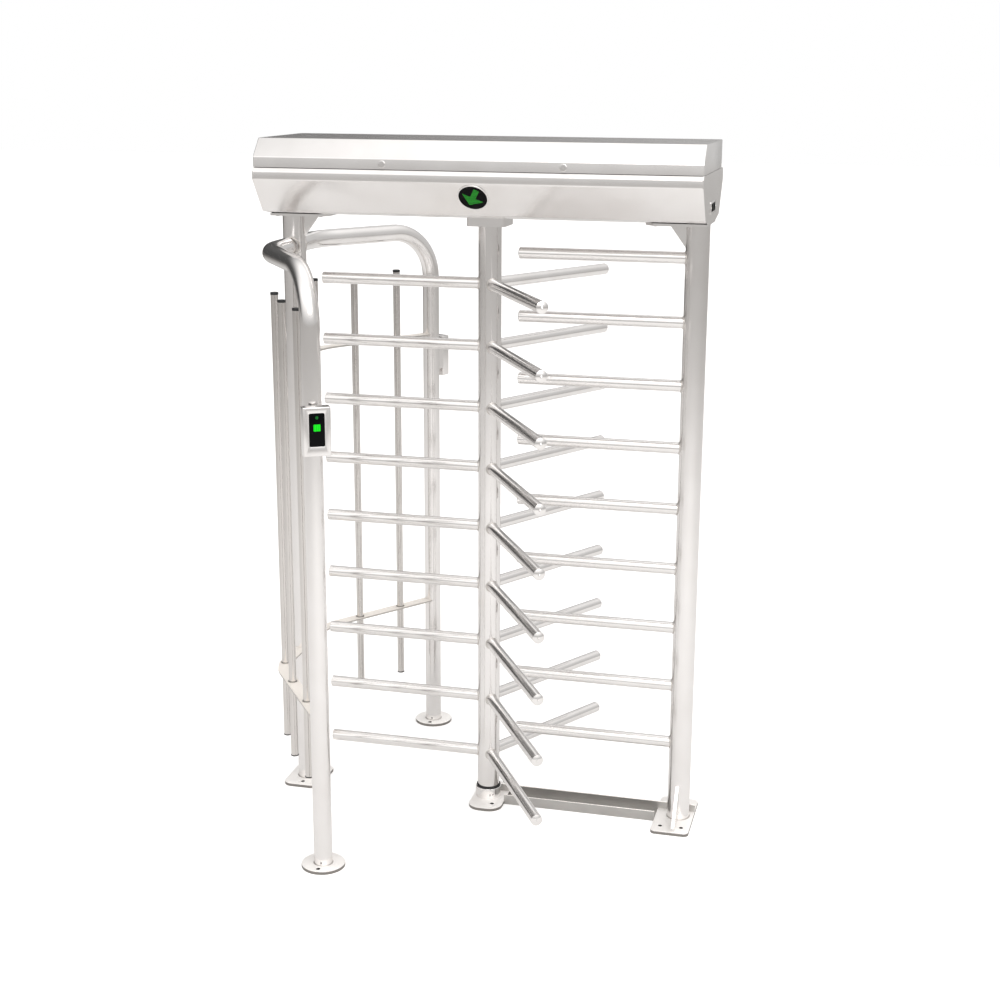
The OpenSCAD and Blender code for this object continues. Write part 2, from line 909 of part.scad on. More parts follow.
module lock_disc() {
    color("#8e8c88") difference() {
        union() {
            translate([0, 0, disc_z]) cylinder(r = disc_r, h = disc_t);
            translate([0, 0, cam_z + cam_t]) cylinder(r = hub_r, h = disc_z - cam_z - cam_t);
        }
        cylinder(r = shaft_thin_r, h = total_h);
        for (i = [0:notch_count - 1]) rotate([0, 0, i * 360 / notch_count])
            translate([disc_r - notch_depth, -notch_w / 2, disc_z - over])
                cube([notch_depth + over, notch_w, disc_t + 2 * over]);
    }
}

module index_lever() {
    color("#b0462c") translate([lever_pivot_x, lever_pivot_y, deck_top + over]) {
        difference() {
            rotate([0, 0, lever_turn]) {
                translate([0, -lever_w / 2, 0]) cube([lever_l, lever_w, lever_t]);
                cylinder(r = lever_r, h = lever_t);
                translate([lever_l, 0, 0]) cylinder(r = lever_r, h = lever_t);
            }
            translate([0, 0, -over]) cylinder(r = lever_pin_r + run_gap, h = lever_t + 2 * over);
        }
        rotate([0, 0, lever_turn]) translate([lever_l, 0, 0])
            cylinder(r = roller_pin_r, h = cam_z + cam_t - deck_top - over);
    }
}

module index_roller() {
    color("#3a3b3e") translate([roller_x, 0, cam_z]) ring(roller_r, roller_pin_r + run_gap, cam_t);
}

// A lock pawl with its tooth in front of the notch at +X; the entry side has
// the same one turned half round the rotor.
module pawl() {
    color("#c2a23a") translate([0, 0, disc_z]) difference() {
        union() {
            translate([pawl_x, pawl_y, 0]) cylinder(r = pawl_r, h = disc_t);
            translate([pawl_x - pawl_w / 2, -tooth_drop, 0]) cube([pawl_w, pawl_y + tooth_drop, disc_t]);
            translate([disc_r + tooth_gap, -tooth_drop, 0])
                cube([pawl_x - disc_r - tooth_gap, tooth_w, disc_t]);
        }
        translate([pawl_x, pawl_y, -over]) cylinder(r = pawl_pin_r + run_gap, h = disc_t + 2 * over);
    }
}

// Repeats a piece half a turn round the rotor.
module both_pawls() {
    children();
    rotate([0, 0, 180]) children();
}

module lock_pawl_entry() {
    rotate([0, 0, 180]) pawl();
}

module lock_pawl_exit() {
    pawl();
}

module pivot_pins() {
    color("#8f8c88") {
        translate([lever_pivot_x, lever_pivot_y, deck_top]) cylinder(r = lever_pin_r, h = lever_t + 3 * over);
        both_pawls() translate([pawl_x, pawl_y, 0]) {
            translate([0, 0, deck_top]) cylinder(r = pawl_post_r, h = disc_z - deck_top - clear);
            translate([0, 0, deck_top]) cylinder(r = pawl_pin_r, h = disc_z + disc_t + over - deck_top);
        }
    }
}

solenoid_z = disc_z + disc_t / 2;
solenoid_x = pawl_x + pawl_w / 2 + solenoid_gap;
plunger_tip = pawl_x + pawl_w / 2 + plunger_gap;

module solenoids() {
    color("#44506a") both_pawls() difference() {
        translate([solenoid_x, solenoid_y - solenoid_w / 2, deck_top])
            cube([solenoid_l, solenoid_w, solenoid_z + solenoid_h / 2 - deck_top]);
        translate([solenoid_x - over, solenoid_y, solenoid_z]) rotate([0, 90, 0])
            cylinder(r = plunger_r + run_gap, h = plunger_l + over);
    }
}

module plunger() {
    color("#d0cdc8") translate([plunger_tip, solenoid_y, solenoid_z]) rotate([0, 90, 0])
        cylinder(r = plunger_r, h = plunger_l);
}

module plunger_entry() {
    rotate([0, 0, 180]) plunger();
}

module plunger_exit() {
    plunger();
}

module control_board() {
    floor_z = beam_bottom + sheet_t;
    color("#1f5a3a") translate([board_x, 0, floor_z]) {
        for (x = [-1, 1], y = [-1, 1])
            translate([x * (board_l / 2 - 2 * standoff_r), y * (board_w / 2 - 2 * standoff_r), 0])
                cylinder(r = standoff_r, h = standoff_h);
        translate([-board_l / 2, -board_w / 2, standoff_h]) cube([board_l, board_w, board_t]);
        for (x = [-1:1], y = [-1, 1])
            translate([x * board_l / 4 - chip_h, y * board_w / 5 - chip_h, standoff_h + board_t])
                cube([2 * chip_h, 2 * chip_h, chip_h]);
    }
}

module power_supply() {
    color("#a7a9ac") translate([supply_x - supply_l / 2, -supply_w / 2, beam_bottom + sheet_t])
        cube([supply_l, supply_w, supply_h]);
}

module rotor_column() {
    color("#cfcbc6") translate([0, 0, rotor_bottom]) tube(rotor_r, rotor_wall, rotor_top - rotor_bottom);
}

// A horizontal tube along +X between two distances from the axis.
module bar(x0, x1) {
    translate([x0, 0, 0]) rotate([0, 90, 0]) tube(arm_r, arm_wall, x1 - x0);
}

module end_cap() {
    intersection() {
        cylinder(r = arm_r, h = cap_l);
        translate([0, 0, cap_l - dome_r]) sphere(r = dome_r);
    }
}

module at_arms() {
    for (a = [-60, 60, 180], i = [0:arm_levels - 1])
        rotate([0, 0, a]) translate([0, 0, arm_first_z + i * arm_pitch]) children();
}

module rotor_arms() {
    color("#d6d3ce") difference() {
        at_arms() bar(rotor_r - cope_bite, arm_reach - cap_l);
        cylinder(r = rotor_r, h = total_h);
    }
}

module arm_caps() {
    color("#e6e3df") at_arms() translate([arm_reach - cap_l, 0, 0]) rotate([0, 90, 0]) end_cap();
}

module at_comb() {
    for (i = [0:arm_levels - 1]) translate([0, 0, comb_first_z + i * arm_pitch]) children();
}

module comb_bars() {
    color("#d6d3ce") difference() {
        at_comb() bar(comb_free_x + cap_l, post_x - post_r + cope_bite);
        translate([post_x, 0, 0]) cylinder(r = post_r, h = total_h);
    }
}

module comb_caps() {
    color("#e6e3df") at_comb() translate([comb_free_x + cap_l, 0, 0]) rotate([0, -90, 0]) end_cap();
}

module pivot_shaft() {
    shoulder_z = foot_bearing_z + foot_bearing_h;
    flange_z = rotor_bottom - foot_flange_h;
    color("#aaa7a3") {
        translate([0, 0, rotor_bottom]) cylinder(r = rotor_r - rotor_wall, h = foot_plug_h);
        translate([0, 0, flange_z]) cylinder(r = foot_flange_r, h = foot_flange_h);
        translate([0, 0, shoulder_z]) cylinder(r = foot_shoulder_r, h = flange_z - shoulder_z);
        translate([0, 0, foot_bearing_z]) cylinder(r = foot_pin_r, h = foot_bearing_h);
    }
}

module pivot_seal() {
    color("#101113") translate([0, 0, pivot_top]) tube(seal_r, seal_wall, rotor_bottom - pivot_top - clear);
}

foot_pitch_r = (foot_bearing_out + foot_pin_r) / 2;

module pivot_bearing_outer() {
    color("#b4b2ae") translate([0, 0, foot_bearing_z]) {
        race(foot_bearing_out, foot_bearing_out - foot_race_t, foot_bearing_h, foot_pitch_r, foot_ball_r);
        translate([0, 0, foot_bearing_h / 2]) balls(foot_ball_count, foot_pitch_r, foot_ball_r);
    }
}

module pivot_bearing_inner() {
    color("#b4b2ae") translate([0, 0, foot_bearing_z])
        race(foot_pin_r + foot_race_t, foot_pin_r, foot_bearing_h, foot_pitch_r, foot_ball_r + run_gap);
}

module pivot_housing() {
    floor_t = foot_bearing_z - plate_t;
    color("#e2dfda") difference() {
        translate([0, 0, plate_t]) cylinder(r = pivot_r, h = pivot_top - plate_t);
        translate([0, 0, foot_bearing_z]) cylinder(r = foot_bearing_out, h = pivot_top);
        translate([0, 0, foot_bearing_z - floor_t / 2]) cylinder(r = foot_bearing_out - foot_race_t, h = pivot_top);
        rotate([0, 0, grub_angle]) translate([pivot_r - grub_l, 0, grub_z]) rotate([0, 90, 0])
            cylinder(r = grub_r, h = grub_l + over);
    }
}

module pivot_plate() {
    color("#d8d5d0") difference() {
        translate([pivot_shift, 0, 0]) plate(pivot_plate_l, pivot_plate_w, pivot_corner, plate_t);
        for (side = [-1, 1]) floor_hole(side * pivot_hole_x, -side * pivot_hole_y);
    }
}

// An upward-open channel between the pivot plate and the comb base; its rear
// wall runs on over both plates.
module floor_channel() {
    plate_x = post_x - comb_shift - comb_plate_l / 2;
    run = plate_x - pivot_end_x;
    wall_end = plate_x + comb_plate_l;
    color("#8d8a86") {
        translate([pivot_end_x, -channel_half, 0]) {
            cube([run, 2 * channel_half, channel_t]);
            cube([run, channel_t, channel_h]);
            translate([0, 2 * channel_half - channel_t, 0]) cube([run, channel_t, channel_h]);
        }
        translate([channel_rear_x, channel_half - channel_t, plate_t])
            cube([wall_end - channel_rear_x, channel_t, channel_h - plate_t]);
    }
}

// The guide beyond its corner, with local +Y running to the upright.
module beyond_corner() {
    translate([-guide_x, corner_y, 0]) rotate([0, 0, -guide_bend]) children();
}

module at_corner() {
    translate([corner_r - guide_x, straight_l, 0]) mirror([1, 0, 0])
        rotate_extrude(angle = guide_bend) translate([corner_r, 0]) children();
}

module rail_outline() {
    difference() {
        circle(r = rail_r);
        circle(r = rail_r - rail_wall);
    }
}

// The short piece of the guide tube that bends away from the left post.
module rail_corner() {
    difference() {
        translate([-guide_x, 0, rail_z]) rotate([-90, 0, 0]) tube(rail_r, rail_wall, straight_l);
        translate([-post_x, 0, 0]) cylinder(r = post_r, h = total_h);
    }
    translate([0, 0, rail_z]) at_corner() rail_outline();
}

// The long piece with the elbow that becomes the upright.
module rail_upright() {
    beyond_corner() {
        translate([0, corner_reach + run_gap, rail_z]) rotate([-90, 0, 0])
            tube(rail_r, rail_wall, guide_l - corner_reach - elbow_r - run_gap);
        translate([0, guide_l - elbow_r, rail_z - elbow_r]) rotate([90, 0, 90])
            rotate_extrude(angle = 90) translate([elbow_r, 0]) rail_outline();
        translate([0, guide_l, plate_t]) tube(rail_r, rail_wall, rail_z - elbow_r - plate_t);
    }
}

module guide_rails() {
    color("#d3d0cb") both_sides() {
        rail_corner();
        rail_upright();
    }
}

module guide_feet() {
    color("#d8d5d0") both_sides() translate([-upright_x, upright_y, 0]) difference() {
        cylinder(r = foot_r, h = plate_t);
        for (y = [-1, 1]) floor_hole(0, y * foot_hole_y);
    }
}

// Points along the corner at a distance from the centre of its bend.
function bend_points(r) = [for (i = [0:strip_steps]) let (t = i * guide_bend / strip_steps)
    [corner_r - guide_x - r * cos(t), straight_l + r * sin(t)]];

function backwards(points) = [for (i = [len(points) - 1:-1:0]) points[i]];

// A flat strip from the post round the corner to the upright.
module strip() {
    half = strip_w / 2;
    end_x = half * cos(guide_bend);
    end_y = half * sin(guide_bend);
    linear_extrude(height = strip_t) polygon(concat(
        [[-guide_x - half, 0]], bend_points(corner_r + half),
        [[-upright_x - end_x, upright_y + end_y], [-upright_x + end_x, upright_y - end_y]],
        backwards(bend_points(corner_r - half)), [[-guide_x + half, 0]]
    ));
}

// The three picket places on one side of the guide.
module at_pickets() {
    translate([corner_r - guide_x, straight_l, 0]) rotate([0, 0, 180 - first_turn])
        translate([corner_r, 0, 0]) children();
    beyond_corner() for (y = [picket_mid, picket_out]) translate([0, y, 0]) children();
}

// Both rows of pickets stand in a lower strip, and only the back row has an upper one.
module at_strips() {
    both_sides() translate([0, 0, strip_low_z]) children();
    translate([0, 0, strip_high_z]) children();
}

module guide_strips() {
    color("#dcd9d4") at_strips() difference() {
        strip();
        translate([-post_x, 0, -over]) cylinder(r = post_r, h = strip_t + 2 * over);
        translate([-upright_x, upright_y, -over]) cylinder(r = rail_r, h = strip_t + 2 * over);
        translate([0, 0, -over]) at_pickets() cylinder(r = picket_r, h = strip_t + 2 * over);
    }
}

module guide_pickets() {
    color("#cbc8c3") both_sides() at_pickets() translate([0, 0, picket_low_z + plug_t])
        tube(picket_r, picket_wall, picket_high_z - picket_low_z - 2 * plug_t);
}

module picket_plug() {
    cylinder(r = picket_r + plug_lip, h = plug_t);
    translate([0, 0, plug_t]) cylinder(r = picket_r - picket_wall, h = spigot_h);
}

module picket_plugs() {
    color("#111214") both_sides() at_pickets() {
        translate([0, 0, picket_low_z]) picket_plug();
        translate([0, 0, picket_high_z]) mirror([0, 0, 1]) picket_plug();
    }
}

module picket_collars() {
    color("#c9c6c1") at_strips() at_pickets() translate([0, 0, strip_t])
        ring(picket_r + collar_wall, picket_r, collar_rise);
}

// A reader place with the upright axis at the origin and local -Y facing the user.
module reader_place(turn, shift) {
    translate([-upright_x, -upright_y, reader_z]) rotate([0, 0, turn]) translate([-shift, 0, 0]) children();
}

module at_readers() {
    reader_place(reader_turn_front, 0) children();
    mirror([0, 1, 0]) reader_place(reader_turn_rear, reader_shift_rear) children();
}

module at_uprights() {
    reader_place(reader_turn_front, 0) children();
    mirror([0, 1, 0]) reader_place(reader_turn_rear, 0) children();
}

module window_bar(t) {
    translate([0, 0, window_low + window_h / 2]) rotate([90, 0, 0])
        linear_extrude(height = t) plate_outline(window_w, window_h, window_corner);
}

module readers() {
    color("#d5d2cd") at_readers() difference() {
        translate([0, -reader_back - reader_d / 2, 0]) plate(reader_w, reader_d, reader_corner, reader_h);
        translate([0, window_t - reader_back - reader_d, 0]) window_bar(window_t + over);
    }
}

module reader_windows() {
    color("#08090a") at_readers() translate([0, window_t - reader_back - reader_d, 0])
        window_bar(window_t + window_rise);
}

module reader_brackets() {
    color("#b9b6b1") {
        difference() {
            at_uprights() translate([-bracket_w / 2, -reader_back, (reader_h - bracket_h) / 2])
                cube([bracket_w, reader_back, bracket_h]);
            both_sides() translate([-upright_x, upright_y, 0]) cylinder(r = rail_r, h = total_h);
        }
    }
}

left_post();
comb_post();
left_base_plate();
comb_base_plate();
post_gussets();
head_plates();
head_bolts();
beam_tray();
beam_ends();
beam_lid();
hinge_leaves_fixed();
hinge_leaves_moving();
hinge_pins();
lid_lock_barrels();
lid_lock_plug_left();
lid_lock_plug_right();
signal_bezels();
signal_faces();
signal_arrows();
power_panel();
power_rocker();
top_bearing_block();
top_bearing_outer_race();
top_bearing_inner_race();
top_bearing_balls();
mechanism_plate();
head_shaft();
index_cam();
lock_disc();
index_lever();
index_roller();
lock_pawl_entry();
lock_pawl_exit();
pivot_pins();
solenoids();
plunger_entry();
plunger_exit();
control_board();
power_supply();
rotor_column();
rotor_arms();
arm_caps();
pivot_shaft();
pivot_seal();
pivot_bearing_inner();
pivot_bearing_outer();
pivot_housing();
pivot_plate();
comb_bars();
comb_caps();
floor_channel();
guide_rails();
guide_feet();
guide_strips();
guide_pickets();
picket_plugs();
picket_collars();
readers();
reader_windows();
reader_brackets();
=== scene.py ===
import json
import math

import bpy
from mathutils import Matrix, Vector

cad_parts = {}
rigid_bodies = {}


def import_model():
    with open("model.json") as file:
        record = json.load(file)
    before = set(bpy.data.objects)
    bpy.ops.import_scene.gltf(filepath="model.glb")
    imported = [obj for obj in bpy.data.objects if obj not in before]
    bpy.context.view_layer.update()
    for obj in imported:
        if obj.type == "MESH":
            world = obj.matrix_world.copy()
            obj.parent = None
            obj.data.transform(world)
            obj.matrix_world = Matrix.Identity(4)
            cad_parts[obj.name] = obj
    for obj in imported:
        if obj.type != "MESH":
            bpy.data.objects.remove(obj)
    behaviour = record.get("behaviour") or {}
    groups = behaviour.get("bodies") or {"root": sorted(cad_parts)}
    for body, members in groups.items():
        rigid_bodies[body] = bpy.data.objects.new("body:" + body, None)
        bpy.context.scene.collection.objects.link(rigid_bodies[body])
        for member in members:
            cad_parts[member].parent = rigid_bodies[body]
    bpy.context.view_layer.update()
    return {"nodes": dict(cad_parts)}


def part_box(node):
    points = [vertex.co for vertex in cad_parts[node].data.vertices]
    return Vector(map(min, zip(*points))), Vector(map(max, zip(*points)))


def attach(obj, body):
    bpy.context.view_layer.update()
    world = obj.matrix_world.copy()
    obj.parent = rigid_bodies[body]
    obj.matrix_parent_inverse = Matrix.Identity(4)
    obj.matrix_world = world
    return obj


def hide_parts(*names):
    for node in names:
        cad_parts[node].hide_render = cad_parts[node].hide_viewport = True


for leftover in list(bpy.data.objects):
    bpy.data.objects.remove(leftover)

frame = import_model()
nodes = frame["nodes"]


# Main sizes, in metres

TINY = 0.0001
SHEET_T = 0.0025
END_T = 0.003
PLATE_T = 0.010
BEAM_HALF = 0.723
BEAM_BOTTOM = 2.054
LID_LOW = 2.210
TOP_Z = 2.300
LID_FRONT = 0.186
LID_BACK = 0.199
LID_SLOPE_Z = 2.243
RIM_HALF = 0.238
RIM_W = 0.020
REAR_LIP = 0.015
FOLD_R = 0.003
# half depth and height of each fold of the tray, from its flat bottom to the seam
TRAY_FOLDS = [(0.095, 2.054), (0.168, 2.066), (0.248, 2.172), (0.248, 2.197), (0.238, 2.209)]
POST_X = 0.680
POST_R = 0.038
ROTOR_R = 0.038
ARM_R = 0.019
ARM_LEVELS = 9
ARM_FIRST_Z = 0.178
ARM_PITCH = 0.207
RAIL_R = 0.030
RAIL_Z = 1.938
GUIDE_X = 0.688
CORNER_Y = 0.218
UPRIGHT_X = 0.392
UPRIGHT_Y = 0.637
CORNER_R = 0.240
ELBOW_R = 0.170
FOOT_R = 0.071
FLOOR_HOLE_R = 0.007
CHANNEL_H = 0.036
BEAD_R = 0.0028
BEAD_STEPS = 32
SIGNAL_R = 0.0505
SIGNAL_BORE_R = 0.048
SIGNAL_FACE_R = 0.046
SIGNAL_RISE = 0.003

# The guide's corner, from those sizes
GUIDE_BEND = math.atan2(GUIDE_X - UPRIGHT_X, UPRIGHT_Y - CORNER_Y)
GUIDE_L = math.hypot(GUIDE_X - UPRIGHT_X, UPRIGHT_Y - CORNER_Y)
CORNER_REACH = CORNER_R * math.tan(GUIDE_BEND / 2)
STRAIGHT_L = CORNER_Y - CORNER_REACH


# Modelling helpers

def new_shape(kind, scale=(1.0, 1.0, 1.0), **settings):
    """One primitive mesh at its own size and place, alone in the selection."""
    bpy.ops.object.select_all(action="DESELECT")
    getattr(bpy.ops.mesh, f"primitive_{kind}_add")(**settings)
    bpy.context.object.scale = scale
    bpy.ops.object.transform_apply(location=True, rotation=True, scale=True)
    return bpy.context.object


def block(centre, size):
    """A box by its centre and its three sizes."""
    return new_shape("cube", size=1.0, location=centre, scale=size)


def disc(radius, low, high, x=0.0, y=0.0, sides=64):
    """An upright cylinder between two heights."""
    return new_shape("cylinder", vertices=sides, radius=radius, depth=high - low,
                     location=(x, y, (low + high) / 2))


def pick(piece, kind, test):
    """Goes to edit mode with only the corners, edges or faces selected that pass a test."""
    bpy.context.view_layer.objects.active = piece
    bpy.ops.object.mode_set(mode="OBJECT")
    mesh = piece.data
    for parts in (mesh.vertices, mesh.edges, mesh.polygons):
        parts.foreach_set("select", [False] * len(parts))
    if kind == "VERT":
        chosen = [v for v in mesh.vertices if test(v.co)]
    elif kind == "EDGE":
        chosen = [e for e in mesh.edges if test(*(mesh.vertices[i].co for i in e.vertices))]
    else:
        chosen = [f for f in mesh.polygons if test(f.center, f.normal)]
    for part in chosen:
        part.select = True
    bpy.context.tool_settings.mesh_select_mode = [kind == word for word in ("VERT", "EDGE", "FACE")]
    bpy.ops.object.mode_set(mode="EDIT")


def leave_edit():
    bpy.ops.object.mode_set(mode="OBJECT")


def round_edges(piece, radius, steps, test):
    """Rounds the edges that pass a test."""
    pick(piece, "EDGE", test)
    bpy.ops.mesh.bevel(offset=radius, segments=steps, affect="EDGES")
    leave_edit()


def face_outwards(piece):
    """Merges corners that share a place and turns all faces outwards."""
    pick(piece, "VERT", lambda place: True)
    bpy.ops.mesh.remove_doubles(threshold=TINY / 10)
    bpy.ops.mesh.select_all(action="SELECT")
    bpy.ops.mesh.normals_make_consistent(inside=False)
    leave_edit()


def modify(piece, kind, **settings):
    """Adds a modifier with these settings and applies it."""
    bpy.ops.object.select_all(action="DESELECT")
    piece.select_set(True)
    bpy.context.view_layer.objects.active = piece
    modifier = piece.modifiers.new(kind.lower(), kind)
    for name, value in settings.items():
        setattr(modifier, name, value)
    bpy.ops.object.modifier_apply(modifier=modifier.name)


def cut(piece, cutter):
    """Cuts a shape out of a piece and removes the cutter."""
    modify(piece, "BOOLEAN", operation="DIFFERENCE", solver="EXACT", object=cutter)
    bpy.data.objects.remove(cutter)


def smooth(piece, degrees=35.0):
    """Smooth shading that keeps edges sharper than this angle."""
    bpy.ops.object.select_all(action="DESELECT")
    piece.select_set(True)
    bpy.context.view_layer.objects.active = piece
    bpy.ops.object.shade_smooth_by_angle(angle=math.radians(degrees))


def joined(pieces):
    """Several pieces as one group of separate solids."""
    bpy.ops.object.select_all(action="DESELECT")
    for piece in pieces:
        piece.select_set(True)
    bpy.context.view_layer.objects.active = pieces[0]
    bpy.ops.object.join()
    return pieces[0]


def repeated(piece, places):
    """Copies of a piece at several places, as one group; the piece itself goes."""
    group = []
    for place in places:
        twin = piece.copy()
        twin.data = piece.data.copy()
        twin.data.transform(place)
        if place.determinant() < 0:
            twin.data.flip_normals()
        bpy.context.scene.collection.objects.link(twin)
        group.append(twin)
    bpy.data.objects.remove(piece)
    return joined(group)


def fit(piece, name, material, body="frame", replaced=()):
    """Names a finished piece, gives it its material, and lets it ride on its body in place of CAD nodes."""
    piece.name = name
    piece.data.name = name
    piece.data.materials.clear()
    piece.data.materials.append(material)
    if replaced:
        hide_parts(*replaced)
    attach(piece, body)
    return piece


def moved(x, y, z):
    return Matrix.Translation((x, y, z))


def turned(degrees, axis):
    return Matrix.Rotation(math.radians(degrees), 4, axis)


MIRROR_Y = Matrix.Diagonal((1.0, -1.0, 1.0, 1.0))


# Colour and node helpers

def linear(code):
    """An sRGB hex colour as a linear RGBA value."""
    parts = [int(code[i:i + 2], 16) / 255 for i in (1, 3, 5)]
    return [p / 12.92 if p <= 0.04045 else ((p + 0.055) / 1.055) ** 2.4 for p in parts] + [1.0]


def add_node(tree, kind, inputs=None, **settings):
    """Adds a node, sets its own settings, and gives its inputs values or links."""
    node = tree.nodes.new(kind)
    for name, value in settings.items():
        setattr(node, name, value)
    for name, value in (inputs or {}).items():
        if isinstance(value, bpy.types.NodeSocket):
            tree.links.new(value, node.inputs[name])
        else:
            node.inputs[name].default_value = value
    return node


def new_material(name):
    """An empty material with its tree, its shader and the object's own coordinates."""
    material = bpy.data.materials.new(name)
    material.use_nodes = True
    tree = material.node_tree
    tree.nodes.clear()
    place = add_node(tree, "ShaderNodeTexCoord").outputs["Object"]
    shader = add_node(tree, "ShaderNodeBsdfPrincipled")
    add_node(tree, "ShaderNodeOutputMaterial", {"Surface": shader.outputs["BSDF"]})
    return material, tree, shader, place


def mixed(tree, factor, first, second):
    """A colour between two colours or colour sockets by a factor socket."""
    return add_node(tree, "ShaderNodeMix", {0: factor, 6: first, 7: second}, data_type="RGBA").outputs[2]


def mixed_value(tree, factor, first, second):
    """A number between two numbers or sockets by a factor socket."""
    return add_node(tree, "ShaderNodeMix", {0: factor, 2: first, 3: second}, data_type="FLOAT").outputs[0]


def blend_colours(tree, factor, first, second):
    """A colour between two hex colours by a factor socket."""
    return mixed(tree, factor, linear(first), linear(second))


def spread(tree, value, low, high, start=0.0, end=1.0, way="LINEAR"):
    """A value from start to end stretched between two numbers."""
    return add_node(tree, "ShaderNodeMapRange", {
        "Value": value, "From Min": start, "From Max": end, "To Min": low, "To Max": high,
    }, interpolation_type=way).outputs["Result"]


def maths(tree, operation, first, second):
    """The result of a sum on two values or sockets."""
    return add_node(tree, "ShaderNodeMath", {0: first, 1: second}, operation=operation).outputs[0]


def stretched(tree, place, scale):
    """Coordinates stretched by three scales, for grain that runs one way."""
    return add_node(tree, "ShaderNodeMapping", {"Vector": place, "Scale": scale}).outputs["Vector"]


def noise(tree, vector, size, detail=2.0):
    """Noise with patches of about this size in metres."""
    inputs = {"Vector": vector, "Scale": 1 / size, "Detail": detail}
    return add_node(tree, "ShaderNodeTexNoise", inputs).outputs["Fac"]


def bump(tree, shader, height, depth):
    """Bumps of this depth in metres on the shader's normal."""
    node = add_node(tree, "ShaderNodeBump", {"Height": height, "Distance": depth, "Strength": 1.0})
    tree.links.new(node.outputs["Normal"], shader.inputs["Normal"])


def dress(material, *names):
    """Gives CAD nodes a material."""
    for name in names:
        mesh = nodes[name].data
        mesh.materials.clear()
        mesh.materials.append(material)


# Materials

def stainless(name, grain_scale, rough_low, rough_high, light="#EBE9E8", dark="#E0DDDB", depth=0.000003):
    """Stainless steel, ground with a belt and then polished: fine lines one way, and a little haze."""
    material, tree, shader, place = new_material(name)
    shader.inputs["Metallic"].default_value = 1.0
    lines = noise(tree, stretched(tree, place, grain_scale), 0.003, 3.0)
    haze = noise(tree, place, 0.09)
    tree.links.new(blend_colours(tree, haze, dark, light), shader.inputs["Base Color"])
    tree.links.new(spread(tree, lines, rough_low, rough_high), shader.inputs["Roughness"])
    bump(tree, shader, lines, depth)
    return material


post_steel = stainless("polished stainless tube upright", (0.05, 0.05, 4.0), 0.14, 0.22)
arm_steel = stainless("polished stainless tube level", (2.0, 2.0, 0.3), 0.12, 0.2)
sheet_steel = stainless("brushed stainless sheet", (0.05, 2.0, 3.0), 0.2, 0.27, depth=0.000002)
plate_steel = stainless("ground stainless plate", (2.0, 2.0, 2.0), 0.18, 0.26)
picket_steel = stainless("drawn stainless picket tube", (0.05, 0.05, 4.0), 0.14, 0.22, "#D5D2CF", "#C9C5C2")
weld_steel = stainless("dressed weld bead", (1.0, 1.0, 1.0), 0.28, 0.4, "#DAD6D2", "#BBB6B1", 0.0002)
turned_steel = stainless("turned bright steel", (0.2, 0.2, 8.0), 0.12, 0.22)
dark_steel = stainless("oiled machine steel", (2.0, 2.0, 6.0), 0.25, 0.4, "#A9A7A3", "#8D8A86")


def plate_with_painted_edge_shade(name, face, edge, polish):
    """Laser cut stainless plate: bright rolled faces up and down, and its cut edges all round painted darker
    as painted shade on the side faces.
    """
    material, tree, shader, place = new_material(name)
    shader.inputs["Metallic"].default_value = 1.0
    upright = add_node(tree, "ShaderNodeSeparateXYZ", {
        "Vector": add_node(tree, "ShaderNodeNewGeometry").outputs["Normal"],
    }).outputs["Z"]
    # how far a face points up or down: the side faces get the edge colour, which is painted shade
    level = spread(tree, maths(tree, "ABSOLUTE", upright, 0.0), 0.0, 1.0, 0.2, 0.7)
    lines = noise(tree, place, 0.003, 3.0)
    tree.links.new(blend_colours(tree, level, edge, face), shader.inputs["Base Color"])
    tree.links.new(maths(tree, "ADD", spread(tree, level, 0.4, polish), spread(tree, lines, 0.0, 0.06)),
                   shader.inputs["Roughness"])
    bump(tree, shader, lines, 0.000003)
    return material


# the side faces of both plates and strips are painted darker as shade
floor_plate_steel = plate_with_painted_edge_shade("laser cut floor plate with painted edge shade", "#FFFDFB", "#8E8A86", 0.7)
strip_steel = plate_with_painted_edge_shade("cold rolled flat strip with painted edge shade", "#FFFBF6", "#C2BEB9", 0.72)


def channel_with_painted_highlight(name, highlight_z):
    """Dull rolled stainless sheet folded into a channel, with a painted highlight: the top edges of its walls
    are painted near white above a height.
    """
    material, tree, shader, place = new_material(name)
    shader.inputs["Metallic"].default_value = 1.0
    height = add_node(tree, "ShaderNodeSeparateXYZ", {"Vector": place}).outputs["Z"]
    # the painted highlight: a near white colour above this height, on the walls' top edges
    ground = spread(tree, height, 0.0, 1.0, highlight_z, highlight_z + 0.0003)
    lines = noise(tree, stretched(tree, place, (0.05, 2.0, 2.0)), 0.003, 3.0)
    dull = blend_colours(tree, noise(tree, place, 0.09), "#AFACA9", "#BEBCB9")
    tree.links.new(mixed(tree, ground, dull, linear("#FFFCF8")), shader.inputs["Base Color"])
    tree.links.new(maths(tree, "ADD", spread(tree, ground, 0.4, 0.15), spread(tree, lines, 0.0, 0.08)),
                   shader.inputs["Roughness"])
    bump(tree, shader, lines, 0.000003)
    return material


# the channel's wall tops carry a painted highlight
channel_steel = channel_with_painted_highlight("dull rolled stainless channel", CHANNEL_H - 0.0018)


def plain(name, colour, darker, roughness, metallic=0.0, ior=1.5, size=0.004, depth=0.00002, gloss=0.5):
    """A moulded, painted or cast surface with a slightly uneven colour and a fine texture."""
    material, tree, shader, place = new_material(name)
    shader.inputs["Metallic"].default_value = metallic
    if not metallic:
        shader.inputs["IOR"].default_value = ior
        shader.inputs["Specular IOR Level"].default_value = gloss
    grain = noise(tree, place, size)
    tree.links.new(blend_colours(tree, grain, darker, colour), shader.inputs["Base Color"])
    tree.links.new(spread(tree, grain, roughness - 0.05, roughness + 0.05), shader.inputs["Roughness"])
    bump(tree, shader, grain, depth)
    return material


